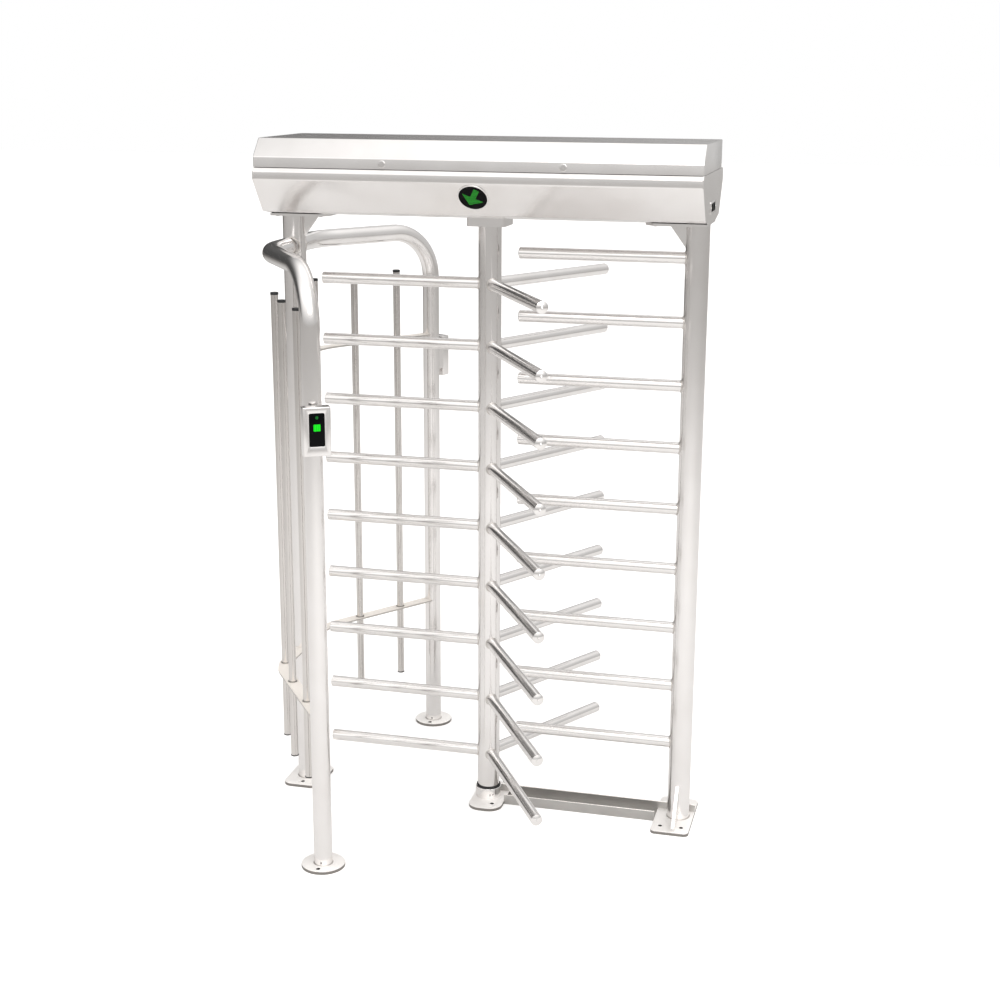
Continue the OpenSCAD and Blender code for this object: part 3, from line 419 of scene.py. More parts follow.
black_nylon = plain("moulded black nylon", "#1B1C1F", "#121315", 0.45, ior=1.53)
dark_nylon = plain("matt black nylon", "#0C0C0E", "#070708", 0.6, ior=1.53, gloss=0.15)
black_rubber = plain("black nitrile rubber", "#17171A", "#0E0E10", 0.65, ior=1.52)
dark_acrylic = plain("dark cast acrylic", "#060708", "#030304", 0.15, ior=1.49, depth=0.000002, gloss=0.08)
green_board = plain("green epoxy circuit board", "#1F5C3C", "#184A30", 0.35, ior=1.55)
red_coat = plain("red powder coat", "#A8402B", "#8F3524", 0.4)
brass = plain("milled brass", "#C9A95C", "#B59549", 0.28, metallic=1.0)
blue_coat = plain("blue grey enamel", "#48556B", "#3B475A", 0.35)
green_terminal = plain("green moulded terminal", "#3E9A5B", "#338A4E", 0.4, ior=1.53)
coil_tape = plain("amber coil tape", "#B9822F", "#A06F26", 0.35)
# painted shadow: the near black discs laid on the floor in the bolt holes
drill_shadow = plain("painted shadow in a floor hole", "#1A1918", "#100F0F", 0.9)


def lit_dots(name, lit, gap, pitch, glow):
    """A field of small round lamps behind acrylic, as a light board has: lit dots on a dark ground."""
    material, tree, shader, place = new_material(name)
    shader.inputs["Roughness"].default_value = 0.3
    shader.inputs["IOR"].default_value = 1.49
    shader.inputs["Specular IOR Level"].default_value = 0.1
    shader.inputs["Emission Strength"].default_value = glow
    cells = add_node(tree, "ShaderNodeTexVoronoi", {"Vector": place, "Scale": 1 / pitch, "Randomness": 0.0})
    shade = spread(tree, cells.outputs["Distance"], 1.0, 0.0, 0.42, 0.5)
    tree.links.new(blend_colours(tree, shade, gap, lit), shader.inputs["Emission Color"])
    tree.links.new(blend_colours(tree, shade, "#0B200D", "#14571A"), shader.inputs["Base Color"])
    return material


green_arrow = lit_dots("green lamp dots", "#2C9A2C", "#0C3A10", 0.003, 1.0)
green_lamp = lit_dots("bright green lamp", "#12F21E", "#10DA1A", 0.003, 1.0)
dim_lamp = lit_dots("dim green lamp", "#0E6A22", "#0B4F19", 0.003, 0.8)


HOLE_PITCH = 0.007


def perforated():
    """Zinc plated sheet with a field of small punched holes."""
    material, tree, shader, place = new_material("perforated plated sheet")
    cells = add_node(tree, "ShaderNodeTexVoronoi",
                     {"Vector": place, "Scale": 1 / HOLE_PITCH, "Randomness": 0.0})
    solid = spread(tree, cells.outputs["Distance"], 0.0, 1.0, 0.24, 0.28)
    tree.links.new(blend_colours(tree, solid, "#050505", "#B9BABB"), shader.inputs["Base Color"])
    tree.links.new(solid, shader.inputs["Metallic"])
    shader.inputs["Roughness"].default_value = 0.38
    return material


perforated_steel = perforated()


# Header beam

def make_tray():
    """One sheet folded up on both sides, with a lip turned in under the lid and the signals' holes cut."""
    tray = new_shape("plane", size=1.0, location=(0.0, 0.0, BEAM_BOTTOM),
                     scale=(2 * (BEAM_HALF - END_T), 2 * TRAY_FOLDS[0][0], 1.0))
    lips = {-1: RIM_HALF - RIM_W, 1: LID_BACK - REAR_LIP}
    for side, lip in lips.items():
        pick(tray, "EDGE", lambda a, b: a.y * side > 0 and b.y * side > 0)
        folds = TRAY_FOLDS + [(lip, TRAY_FOLDS[-1][1])]
        for (y0, z0), (y1, z1) in zip(folds, folds[1:]):
            step = (0.0, side * (y1 - y0), z1 - z0)
            bpy.ops.mesh.extrude_edges_move(TRANSFORM_OT_translate={"value": step})
        leave_edit()
    lip_z = TRAY_FOLDS[-1][1]
    round_edges(tray, FOLD_R, 4, lambda a, b: abs(a.x - b.x) > BEAM_HALF and (
        a.z < lip_z - TINY or abs(a.y) > RIM_HALF - TINY))
    pick(tray, "FACE", lambda place, normal: True)
    bpy.ops.mesh.normals_make_consistent(inside=False)
    leave_edit()
    bottom = min(tray.data.polygons, key=lambda face: face.center.z)
    if bottom.normal.z > 0:
        tray.data.flip_normals()
    modify(tray, "SOLIDIFY", thickness=SHEET_T, offset=-1.0, use_even_offset=True)
    for place in signal_places():
        cutter = disc(SIGNAL_BORE_R, -3 * SHEET_T, 3 * SHEET_T)
        cutter.data.transform(place)
        cut(tray, cutter)
    smooth(tray)
    fit(tray, "beam_tray_folded", sheet_steel, replaced=["beam_tray"])


def make_lid():
    """The lid: a box without a bottom, with a slope along its front and small bend radii."""
    depth = RIM_HALF + LID_BACK
    slope_w = RIM_HALF - LID_FRONT
    lid = block((0.0, LID_BACK - depth / 2, (TOP_Z + LID_LOW) / 2), (2 * BEAM_HALF, depth, TOP_Z - LID_LOW))
    pick(lid, "FACE", lambda place, normal: normal.z < -0.9)
    bpy.ops.mesh.delete(type="ONLY_FACE")
    leave_edit()
    round_edges(lid, slope_w, 1, lambda a, b: min(a.z, b.z) > TOP_Z - TINY and max(a.y, b.y) < 0)
    pick(lid, "VERT", lambda place: place.y < TINY - RIM_HALF and place.z > LID_LOW + TINY)
    bpy.ops.transform.translate(value=(0.0, 0.0, LID_SLOPE_Z - (TOP_Z - slope_w)))
    leave_edit()
    round_edges(lid, FOLD_R, 4, lambda a, b: max(a.z, b.z) > LID_LOW + TINY)
    modify(lid, "SOLIDIFY", thickness=SHEET_T, offset=-1.0, use_even_offset=True)
    smooth(lid)
    fit(lid, "beam_lid_folded", sheet_steel, "lid", ["beam_lid"])


# Signals

# how far up the slope the signal's centre sits, as a share of the slope
SIGNAL_SHARE = 0.59


def signal_places():
    """The two signal places on the lower slopes, front and back, with local +Z facing out."""
    (y0, z0), (y1, z1) = TRAY_FOLDS[1:3]
    tilt = 90.0 + math.degrees(math.atan2(y1 - y0, z1 - z0))
    front = moved(0.0, -(y0 + SIGNAL_SHARE * (y1 - y0)), z0 + SIGNAL_SHARE * (z1 - z0)) @ turned(tilt, "X")
    return [front, MIRROR_Y @ front]


def make_bezels():
    """Bright rings with a rounded rim round the signals' faces."""
    ring = disc(SIGNAL_R, 0.0, SIGNAL_RISE)
    pick(ring, "FACE", lambda place, normal: abs(normal.z) > 0.9)
    bpy.ops.mesh.inset(thickness=SIGNAL_R - SIGNAL_FACE_R, use_individual=True)
    bpy.ops.mesh.bridge_edge_loops()
    leave_edit()
    pick(ring, "FACE", lambda place, normal: normal.z < -0.9)
    bpy.ops.mesh.inset(thickness=SIGNAL_R - SIGNAL_BORE_R, use_boundary=True)
    leave_edit()
    face_outwards(ring)
    round_edges(ring, 0.0012, 4, lambda a, b: min(a.z, b.z) > SIGNAL_RISE - TINY and
                abs(a.xy.length - SIGNAL_R) < TINY and abs(b.xy.length - SIGNAL_R) < TINY)
    round_edges(ring, 0.0005, 2, lambda a, b: min(a.z, b.z) > SIGNAL_RISE - TINY and
                abs(a.xy.length - SIGNAL_FACE_R) < TINY and abs(b.xy.length - SIGNAL_FACE_R) < TINY)
    smooth(ring)
    fit(repeated(ring, signal_places()), "signal_bezel_rings", turned_steel,
        replaced=["signal_bezels"])


# Guide

# with no window open, the spin turns the other way round its axis
SPIN_SIGN = -1.0


def make_guide_tubes():
    """One bent tube a side: up from the foot, round the elbow, along, and round the corner into the post."""
    sides = []
    for side in (-1, 1):
        ahead = Vector((-math.sin(GUIDE_BEND), -side * math.cos(GUIDE_BEND), 0.0))
        foot = Vector((-UPRIGHT_X, side * UPRIGHT_Y, PLATE_T))
        elbow = Vector((foot.x, foot.y, RAIL_Z - ELBOW_R)) + ELBOW_R * ahead
        tube = new_shape("circle", vertices=48, radius=RAIL_R, location=foot)
        pick(tube, "VERT", lambda place: True)
        bpy.ops.mesh.extrude_region_move(TRANSFORM_OT_translate={"value": (0.0, 0.0, elbow.z - foot.z)})
        bpy.ops.mesh.spin(steps=20, angle=SPIN_SIGN * math.pi / 2, center=elbow,
                          axis=Vector((0.0, 0.0, 1.0)).cross(ahead))
        run = GUIDE_L - CORNER_REACH - ELBOW_R
        bpy.ops.mesh.extrude_region_move(TRANSFORM_OT_translate={"value": run * ahead})
        bpy.ops.mesh.spin(steps=12, angle=SPIN_SIGN * GUIDE_BEND,
                          center=(CORNER_R - GUIDE_X, side * STRAIGHT_L, RAIL_Z), axis=(0.0, 0.0, side))
        bpy.ops.mesh.extrude_region_move(
            TRANSFORM_OT_translate={"value": (0.0, side * (ROTOR_R / 2 - STRAIGHT_L), 0.0)})
        leave_edit()
        face_outwards(tube)
        smooth(tube)
        sides.append(tube)
    fit(joined(sides), "guide_tubes_bent", arm_steel, replaced=["guide_rails"])


# Plates, feet and channel

COMB_PLATE_X = POST_X - 0.012
PIVOT_PLATE_X = 0.008
# each floor plate's middle, length, depth, corner radius and bolt holes
PLATES = {
    "left_base_plate": (-POST_X, 0.138, 0.190, 0.034, [(-POST_X, y) for y in (-0.065, 0.065)]),
    "comb_base_plate": (COMB_PLATE_X, 0.130, 0.284, 0.018,
                        [(COMB_PLATE_X + x, y) for x in (-0.036, 0.036) for y in (-0.095, 0.095)]),
    "pivot_plate": (PIVOT_PLATE_X, 0.118, 0.236, 0.045, [(0.031, -0.072), (-0.031, 0.072)]),
}
FOOT_HOLE_Y = 0.050
PLATE_EASE = 0.001
CHANNEL_T = 0.003
CHANNEL_EASE = 0.0014


def drilled(plate, holes):
    """Eases the top edge of a floor plate, drills its bolt holes, and lays a near black disc on the floor in
    each as a painted shadow.
    """
    round_edges(plate, PLATE_EASE, 2, lambda a, b: min(a.z, b.z) > PLATE_T - TINY)
    for x, y in holes:
        cut(plate, disc(FLOOR_HOLE_R, -PLATE_T, 2 * PLATE_T, x, y, 32))
        # a near black disc on the floor in the hole: painted shadow
        shadow = disc(FLOOR_HOLE_R, -TINY * 5, TINY, x, y, 32)
        shadow.name = "floor_hole_painted_shadow"
        shadow.data.materials.append(drill_shadow)
    smooth(plate)
    return plate


def make_plates():
    """The three floor plates with rounded corners, and the two round feet."""
    for node, (x, length, depth, corner, holes) in PLATES.items():
        plate = block((x, 0.0, PLATE_T / 2), (length, depth, PLATE_T))
        round_edges(plate, corner, 10, lambda a, b: abs(a.z - b.z) > PLATE_T / 2)
        fit(drilled(plate, holes), node + "_drilled", floor_plate_steel, replaced=[node])
    feet = []
    for side in (-1, 1):
        y = side * UPRIGHT_Y
        foot = disc(FOOT_R, 0.0, PLATE_T, -UPRIGHT_X, y)
        feet.append(drilled(foot, [(-UPRIGHT_X, y - FOOT_HOLE_Y), (-UPRIGHT_X, y + FOOT_HOLE_Y)]))
    fit(joined(feet), "guide_feet_drilled", floor_plate_steel, replaced=["guide_feet"])


def make_channel():
    """The open floor channel between two plates; its rear wall runs on over both. The top edges are eased."""
    low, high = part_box("floor_channel")
    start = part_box("pivot_plate")[1].x
    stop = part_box("comb_base_plate")[0].x
    middle = (start + stop) / 2
    run = stop - start
    channel = block((middle, 0.0, high.z / 2), (run, 2 * high.y, high.z))
    cut(channel, block((middle, 0.0, CHANNEL_T + high.z / 2), (2 * run, 2 * (high.y - CHANNEL_T), high.z)))
    wall = block(((low.x + high.x) / 2, high.y - CHANNEL_T / 2, (PLATE_T + high.z) / 2),
                 (high.x - low.x, CHANNEL_T, high.z - PLATE_T))
    modify(channel, "BOOLEAN", operation="UNION", solver="EXACT", object=wall)
    bpy.data.objects.remove(wall)
    round_edges(channel, CHANNEL_EASE, 4,
                lambda a, b: min(a.z, b.z) > high.z - TINY and abs(a.y - b.y) < TINY)
    smooth(channel)
    fit(channel, "floor_channel_eased", channel_steel, replaced=["floor_channel"])


# Weld beads

# only corners closer to a step's angle than half a step have a cosine above this
BEAD_NEAR = math.cos(math.pi / BEAD_STEPS)


def saddle_bead(tube_r, post_r, shift=0.0):
    """A weld bead round the root of a tube along +X that meets an upright, off its centre by a shift in Y."""
    bead = new_shape("torus", major_radius=tube_r, minor_radius=BEAD_R, major_segments=BEAD_STEPS,
                     minor_segments=8, rotation=(0.0, math.pi / 2, 0.0))
    for step in range(BEAD_STEPS):
        angle = 2 * math.pi * step / BEAD_STEPS
        across = shift + tube_r * math.cos(angle)
        pick(bead, "VERT", lambda place: math.cos(math.atan2(place.z, place.y) - angle) > BEAD_NEAR)
        bpy.ops.transform.translate(value=(math.sqrt(max(post_r ** 2 - across ** 2, 0.0)), 0.0, 0.0))
        leave_edit()
    smooth(bead, 80.0)
    return bead


def level_places(first_z, angle, x=0.0):
    return [moved(x, 0.0, first_z + i * ARM_PITCH) @ turned(angle, "Z") for i in range(ARM_LEVELS)]


def make_beads():
    """Weld beads at the roots of arms, comb bars and guide tubes, and round the foot of every upright."""
    arm_places = [place for angle in (-60.0, 60.0, 180.0) for place in level_places(ARM_FIRST_Z, angle)]
    fit(repeated(saddle_bead(ARM_R, ROTOR_R), arm_places), "arm_weld_beads", weld_steel, "rotor")
    comb_places = level_places(ARM_FIRST_Z + ARM_PITCH / 2, 180.0, POST_X)
    fit(repeated(saddle_bead(ARM_R, POST_R), comb_places), "comb_weld_beads", weld_steel)
    guide_places = [moved(-POST_X, 0.0, RAIL_Z) @ turned(90.0, "Z")]
    guide_places.append(MIRROR_Y @ guide_places[0])
    guide_bead = saddle_bead(RAIL_R, POST_R, GUIDE_X - POST_X)
    fit(repeated(guide_bead, guide_places), "guide_weld_beads", weld_steel)
    feet = [(-POST_X, 0.0, POST_R), (POST_X, 0.0, POST_R)]
    feet += [(-UPRIGHT_X, side * UPRIGHT_Y, RAIL_R) for side in (-1, 1)]
    rings = [new_shape("torus", major_radius=radius, minor_radius=BEAD_R, major_segments=64, minor_segments=8,
                       location=(x, y, PLATE_T)) for x, y, radius in feet]
    beads = joined(rings)
    smooth(beads, 80.0)
    fit(beads, "foot_weld_beads", weld_steel)


# Pickets

PICKET_R = 0.0125
PICKET_LOW_Z = 0.239
PICKET_HIGH_Z = 1.804
# the first picket's distance from the beam's middle, and the other two's distances beyond the corner
PICKET_FIRST = 0.187
PICKET_BEYOND = (0.163, 0.353)
PLUG_T = 0.008
LOW_PLUG_T = 0.004
PLUG_LIP = 0.001


def picket_places():
    """The feet of the six pickets, three a side."""
    turn = math.asin((PICKET_FIRST - STRAIGHT_L) / CORNER_R)
    first = (CORNER_R * (1 - math.cos(turn)) - GUIDE_X, PICKET_FIRST)
    beyond = [(run * math.sin(GUIDE_BEND) - GUIDE_X, CORNER_Y + run * math.cos(GUIDE_BEND))
              for run in PICKET_BEYOND]
    return [(x, side * y) for side in (-1, 1) for x, y in [first] + beyond]


def make_picket_plugs():
    """Black plugs with a rounded edge in the tops of the pickets, and thinner ones in the bottoms."""
    plugs = []
    low_z = PICKET_LOW_Z + PLUG_T - LOW_PLUG_T
    for top, thick, tilt in ((PICKET_HIGH_Z, PLUG_T, 0.0), (low_z, LOW_PLUG_T, 180.0)):
        plug = disc(PICKET_R + PLUG_LIP, -thick, 0.0, sides=48)
        round_edges(plug, 0.0015, 4, lambda a, b: min(a.z, b.z) > -TINY)
        smooth(plug)
        plugs.append(repeated(plug, [moved(x, y, top) @ turned(tilt, "X") for x, y in picket_places()]))
    fit(joined(plugs), "picket_end_plugs", black_nylon, replaced=["picket_plugs"])


# Card readers

READER_Z = 1.389
READER_W = 0.086
READER_H = 0.150
READER_D = 0.038
READER_BACK = 0.047
READER_CORNER_R = 0.005
WINDOW_W = 0.047
WINDOW_H = 0.102
WINDOW_Z = 0.081
WINDOW_T = 0.003
LAMP_Z = 0.088
LAMP_W = 0.021
LAMP_T = 0.0008
DOT_Z = 0.119
DOT_R = 0.005


def reader_places():
    """The two readers' places: the front one turned 30 degrees, and the rear one turned 20 and shifted."""
    front = moved(-UPRIGHT_X, -UPRIGHT_Y, READER_Z) @ turned(30.0, "Z")
    rear = MIRROR_Y @ moved(-UPRIGHT_X, -UPRIGHT_Y, READER_Z) @ turned(20.0, "Z") @ moved(-0.022, 0.0, 0.0)
    return [front, rear]


def window_block(front_y, back_y, grow=0.0):
    """A bar with rounded corners that runs through the reader's window from front to back."""
    bar = block((0.0, (front_y + back_y) / 2, WINDOW_Z),
                (WINDOW_W + 2 * grow, back_y - front_y, WINDOW_H + 2 * grow))
    round_edges(bar, READER_CORNER_R + grow, 5, lambda a, b: abs(a.y - b.y) > TINY)
    return bar


def make_readers():
    """Reader housings with eased edges, a bevelled window frame, a dark window and two green lamps."""
    face_y = -READER_BACK - READER_D
    housing = block((0.0, -READER_BACK - READER_D / 2, READER_H / 2), (READER_W, READER_D, READER_H))
    round_edges(housing, READER_CORNER_R, 6, lambda a, b: abs(a.z - b.z) > READER_H / 2)
    round_edges(housing, READER_CORNER_R / 2, 3, lambda a, b: abs(a.z - b.z) < TINY)
    cut(housing, window_block(face_y - WINDOW_T, face_y + WINDOW_T))
    pick(housing, "EDGE", lambda a, b: max(a.y, b.y) < face_y + TINY and
         max(abs(a.x), abs(b.x)) < WINDOW_W / 2 + TINY and
         max(abs(a.z - WINDOW_Z), abs(b.z - WINDOW_Z)) < WINDOW_H / 2 + TINY)
    bpy.ops.mesh.bevel(offset=0.0015, segments=2, affect="EDGES")
    leave_edit()
    smooth(housing)
    fit(repeated(housing, reader_places()), "reader_housings", sheet_steel, replaced=["readers"])
    window = window_block(face_y - 0.0005, face_y + WINDOW_T, -TINY)
    round_edges(window, 0.0005, 2, lambda a, b: max(a.y, b.y) < face_y - 0.0004)
    smooth(window)
    fit(repeated(window, reader_places()), "reader_window_panes", dark_acrylic,
        replaced=["reader_windows"])
    lamp = block((0.0, face_y - 0.0006, LAMP_Z), (LAMP_W, LAMP_T, LAMP_W))
    round_edges(lamp, 0.002, 3, lambda a, b: abs(a.y - b.y) > TINY)
    fit(repeated(lamp, reader_places()), "reader_square_lamps", green_lamp)
    dot = new_shape("cylinder", vertices=32, radius=DOT_R, depth=LAMP_T,
                    location=(0.0, face_y - 0.0006, DOT_Z), rotation=(math.pi / 2, 0.0, 0.0))
    fit(repeated(dot, reader_places()), "reader_dot_lamps", dim_lamp)


# Lid locks, hinge screws and power panel

LOCK_X = 0.291
LOCK_Z = 2.226
LOCK_R = 0.009
LOCK_FLANGE_R = 0.012
LOCK_FLANGE_T = 0.002
LOCK_DEPTH = 0.0215
LOCK_PLUG_R = 0.006
NUT_T = 0.004


def make_locks():
    """The lid locks' barrels: a flange with a rounded rim, a barrel and the nut behind the sheet."""
    barrel = disc(LOCK_FLANGE_R, -LOCK_FLANGE_T, 0.0, sides=48)
    round_edges(barrel, 0.0014, 4, lambda a, b: max(a.z, b.z) < TINY - LOCK_FLANGE_T)
    body = disc(LOCK_R, 0.0, LOCK_DEPTH, sides=48)
    nut = disc(LOCK_FLANGE_R, SHEET_T, SHEET_T + NUT_T, sides=6)
    for part in (barrel, body, nut):
        cut(part, disc(LOCK_PLUG_R + TINY, -LOCK_DEPTH, 2 * LOCK_DEPTH, sides=48))
        smooth(part)
    places = [moved(x, -RIM_HALF, LOCK_Z) @ turned(-90.0, "X") for x in (-LOCK_X, LOCK_X)]
    fit(repeated(joined([barrel, body, nut]), places), "lock_barrels_turned", turned_steel, "lid",
        ["lid_lock_barrels"])


def socket_screw(radius):
    """A button head screw with a six-sided socket, standing on z = 0."""
    head = disc(radius, 0.0, 0.6 * radius, sides=32)
    round_edges(head, 0.4 * radius, 4, lambda a, b: min(a.z, b.z) > 0.6 * radius - TINY)
    cut(head, disc(0.45 * radius, 0.3 * radius, radius, sides=6))
    smooth(head)
    return head


HINGE_XS = (-0.500, 0.0, 0.500)
HINGE_SCREW_X = 0.022
HINGE_SCREW_R = 0.0032
HINGE_SCREW_Y = 0.225
HINGE_SCREW_Z = 2.235
LEAF_T = 0.002


def make_hinge_screws():
    """Two screws in each hinge leaf: upright ones in the tray's lip, level ones in the back of the lid."""
    xs = [x + side * HINGE_SCREW_X for x in HINGE_XS for side in (-1, 1)]
    fixed = [moved(x, HINGE_SCREW_Y, TRAY_FOLDS[-1][1] + LEAF_T) for x in xs]
    moving = [moved(x, LID_BACK + LEAF_T, HINGE_SCREW_Z) @ turned(-90.0, "X") for x in xs]
    fit(repeated(socket_screw(HINGE_SCREW_R), fixed), "hinge_screws_fixed", turned_steel)
    fit(repeated(socket_screw(HINGE_SCREW_R), moving), "hinge_screws_moving", turned_steel, "lid")


PANEL_Z = 2.100
PANEL_L = 0.124
PANEL_H = 0.038
PANEL_T = 0.002
PANEL_DEPTH = 0.026
INSERT_L = 0.090
INSERT_H = 0.026
INSERT_SINK = 0.0004
INSERT_CORNER_R = 0.004
BODY_L = 0.112
BODY_H = 0.030
INLET_Y = -0.028
INLET_L = 0.028
INLET_H = 0.020
INLET_DEPTH = 0.018
ROCKER_Y = 0.026
ROCKER_L = 0.019
ROCKER_H = 0.0145
ROCKER_DEPTH = 0.012
PANEL_SCREW_Y = 0.0565


def make_power_panel():
    """The panel on the end plate: a steel flange round a black insert with an inlet and a rocker well."""
    face_x = BEAM_HALF + PANEL_T
    flange = block((BEAM_HALF + PANEL_T / 2, 0.0, PANEL_Z), (PANEL_T, PANEL_L, PANEL_H))
    round_edges(flange, INSERT_CORNER_R, 5, lambda a, b: abs(a.x - b.x) > TINY)
    round_edges(flange, 0.0006, 2, lambda a, b: min(a.x, b.x) > face_x - TINY)
    window = block((face_x, 0.0, PANEL_Z), (4 * PANEL_T, INSERT_L, INSERT_H))
    round_edges(window, INSERT_CORNER_R, 5, lambda a, b: abs(a.x - b.x) > TINY)
    cut(flange, window)
    smooth(flange)
    insert = block((BEAM_HALF + (PANEL_T - INSERT_SINK) / 2, 0.0, PANEL_Z),
                   (PANEL_T - INSERT_SINK, INSERT_L - INSERT_SINK, INSERT_H - INSERT_SINK))
    round_edges(insert, INSERT_CORNER_R, 5, lambda a, b: abs(a.x - b.x) > TINY)
    body = block((BEAM_HALF - PANEL_DEPTH / 2, 0.0, PANEL_Z), (PANEL_DEPTH, BODY_L, BODY_H))
    for part in (insert, body):
        inlet = block((face_x, INLET_Y, PANEL_Z), (2 * INLET_DEPTH, INLET_L, INLET_H))
        round_edges(inlet, 0.005, 1, lambda a, b: abs(a.x - b.x) > TINY and a.z < PANEL_Z)
        cut(part, inlet)
        cut(part, block((face_x, ROCKER_Y, PANEL_Z), (2 * ROCKER_DEPTH, ROCKER_L, ROCKER_H)))
        smooth(part)
    pins = [block((face_x - 0.010, INLET_Y + y, PANEL_Z + z), (0.016, 0.002, 0.004))
            for y, z in ((-0.008, -0.002), (0.0, 0.003), (0.008, -0.002))]
    fit(joined([insert, body]), "power_panel_insert", dark_nylon, replaced=["power_panel"])
    fit(flange, "power_panel_flange", turned_steel)
    fit(joined(pins), "power_inlet_pins", brass)
    places = [moved(face_x, side * PANEL_SCREW_Y, PANEL_Z) @ turned(90.0, "Y") for side in (-1, 1)]
    fit(repeated(socket_screw(0.0028), places), "power_panel_screws", turned_steel)


# Rotor foot

SEAL_R = 0.042
SEAL_BORE_R = 0.039
SEAL_LOW = 0.048
SEAL_HIGH = 0.0545
PIVOT_TOP = 0.042
LIP_R = 0.0445


def make_ring(outer, inner, low, high):
    """A flat ring on the rotor axis."""
    ring = disc(outer, low, high, sides=96)
    pick(ring, "FACE", lambda place, normal: abs(normal.z) > 0.9)
    bpy.ops.mesh.inset(thickness=outer - inner, use_individual=True)
    bpy.ops.mesh.bridge_edge_loops()
    leave_edit()
    face_outwards(ring)
    return ring


def make_seal():
    """The rubber seal under the rotor, and the housing's bright lip that it turns on."""
    seal = make_ring(SEAL_R, SEAL_BORE_R, SEAL_LOW, SEAL_HIGH)
    round_edges(seal, 0.001, 3, lambda a, b: min(a.xy.length, b.xy.length) > SEAL_R - TINY and
                abs(a.z - b.z) < TINY)
    smooth(seal)
    fit(seal, "pivot_seal_ring", black_rubber, replaced=["pivot_seal"])
    lip = make_ring(LIP_R, SEAL_BORE_R, PIVOT_TOP, SEAL_LOW)
    round_edges(lip, 0.002, 4, lambda a, b: min(a.xy.length, b.xy.length) > LIP_R - TINY and
                min(a.z, b.z) > SEAL_LOW - TINY)
    smooth(lip)
    fit(lip, "pivot_housing_lip", turned_steel)


# Inside the beam

BOARD_X = -0.440
BOARD_L = 0.190
BOARD_W = 0.130
BOARD_LOW = BEAM_BOTTOM + SHEET_T
BOARD_T = 0.002
STANDOFF_H = 0.012
STANDOFF_R = 0.004
STANDOFF_X = 0.087
STANDOFF_Y = 0.057
BOARD_TOP = BOARD_LOW + STANDOFF_H + BOARD_T
CAN_H = 0.018


def row(count, pitch, x, y, size, along="X"):
    """A row of equal boxes that stand on the control board."""
    boxes = []
    for i in range(count):
        step = (i - (count - 1) / 2) * pitch
        at = (BOARD_X + x + (step if along == "X" else 0.0), y + (step if along == "Y" else 0.0),
              BOARD_TOP + size[2] / 2)
        box = block(at, size)
        round_edges(box, 0.0006, 1, lambda a, b: min(a.z, b.z) > BOARD_TOP + size[2] - TINY)
        boxes.append(box)
    return boxes


def make_board():
    """The control board with its chips, relays, terminals, capacitors and a finned heat sink."""
    board = block((BOARD_X, 0.0, BOARD_TOP - BOARD_T / 2), (BOARD_L, BOARD_W, BOARD_T))
    round_edges(board, 0.004, 4, lambda a, b: abs(a.z - b.z) > TINY)
    fit(board, "control_board_panel", green_board, replaced=["control_board"])
    legs = [disc(STANDOFF_R, BOARD_LOW, BOARD_TOP - BOARD_T, BOARD_X + x * STANDOFF_X, y * STANDOFF_Y, 6)
            for x in (-1, 1) for y in (-1, 1)]
    fit(joined(legs), "control_board_standoffs", brass)
    chips = row(3, 0.030, -0.020, 0.010, (0.018, 0.018, 0.0025))
    chips += row(5, 0.014, 0.030, -0.020, (0.009, 0.006, 0.002))
    fit(joined(chips), "control_board_chips", black_nylon)
    relays = row(4, 0.022, 0.045, 0.038, (0.019, 0.015, 0.015))
    fit(joined(relays), "control_board_relays", blue_coat)
    terminals = row(12, 0.0102, -0.020, -0.056, (0.0096, 0.010, 0.012))
    terminals += row(8, 0.0102, -0.086, 0.0, (0.010, 0.0096, 0.012), "Y")
    fit(joined(terminals), "control_board_terminals", green_terminal)
    cans = []
    for x, y, radius in ((0.062, 0.004, 0.007), (0.080, 0.004, 0.007), (0.066, -0.044, 0.005)):
        can = disc(radius, BOARD_TOP, BOARD_TOP + CAN_H, BOARD_X + x, y, 32)
        round_edges(can, 0.001, 2, lambda a, b: min(a.z, b.z) > BOARD_TOP + CAN_H - TINY)
        smooth(can)
        cans.append(can)
    fit(joined(cans), "control_board_capacitors", turned_steel)
    fins = row(7, 0.0042, -0.050, 0.045, (0.0016, 0.022, 0.014))
    fins += row(1, 0.0, -0.050, 0.045, (0.030, 0.022, 0.003))
    fit(joined(fins), "control_board_heat_sink", dark_steel)


SUPPLY_X = 0.430
SUPPLY_L = 0.190
SUPPLY_W = 0.098
SUPPLY_H = 0.044
SUPPLY_BASE_T = 0.002
STRIP_L = 0.018
STRIP_GAP = 0.022
STRIP_PITCH = 0.011


def make_supply():
    """The power supply: a case with a perforated cover that stops short of an open terminal strip."""
    cover_l = SUPPLY_L - STRIP_GAP
    cover_h = SUPPLY_H - SUPPLY_BASE_T
    base = block((SUPPLY_X, 0.0, BOARD_LOW + SUPPLY_BASE_T / 2), (SUPPLY_L, SUPPLY_W, SUPPLY_BASE_T))
    fit(base, "power_supply_base", sheet_steel, replaced=["power_supply"])
    cover = block((SUPPLY_X + STRIP_GAP / 2, 0.0, BOARD_LOW + SUPPLY_BASE_T + cover_h / 2),
                  (cover_l, SUPPLY_W, cover_h))
    round_edges(cover, 0.0015, 3, lambda a, b: min(a.z, b.z) > BOARD_LOW + SUPPLY_H - TINY)
    smooth(cover)
    fit(cover, "power_supply_cover", perforated_steel)
    strip_x = SUPPLY_X - SUPPLY_L / 2 + 0.010
    strip = block((strip_x, 0.0, BOARD_LOW + 0.011), (STRIP_L, 0.090, 0.018))
    walls = [block((strip_x, (i - 4) * STRIP_PITCH, BOARD_LOW + 0.0235), (STRIP_L, 0.0012, 0.007))
             for i in range(9)]
    fit(joined([strip] + walls), "power_supply_terminals", black_nylon)
    places = [moved(strip_x, (i - 3.5) * STRIP_PITCH, BOARD_LOW + 0.020) for i in range(8)]
    fit(repeated(socket_screw(0.0034), places), "power_supply_screws", brass)


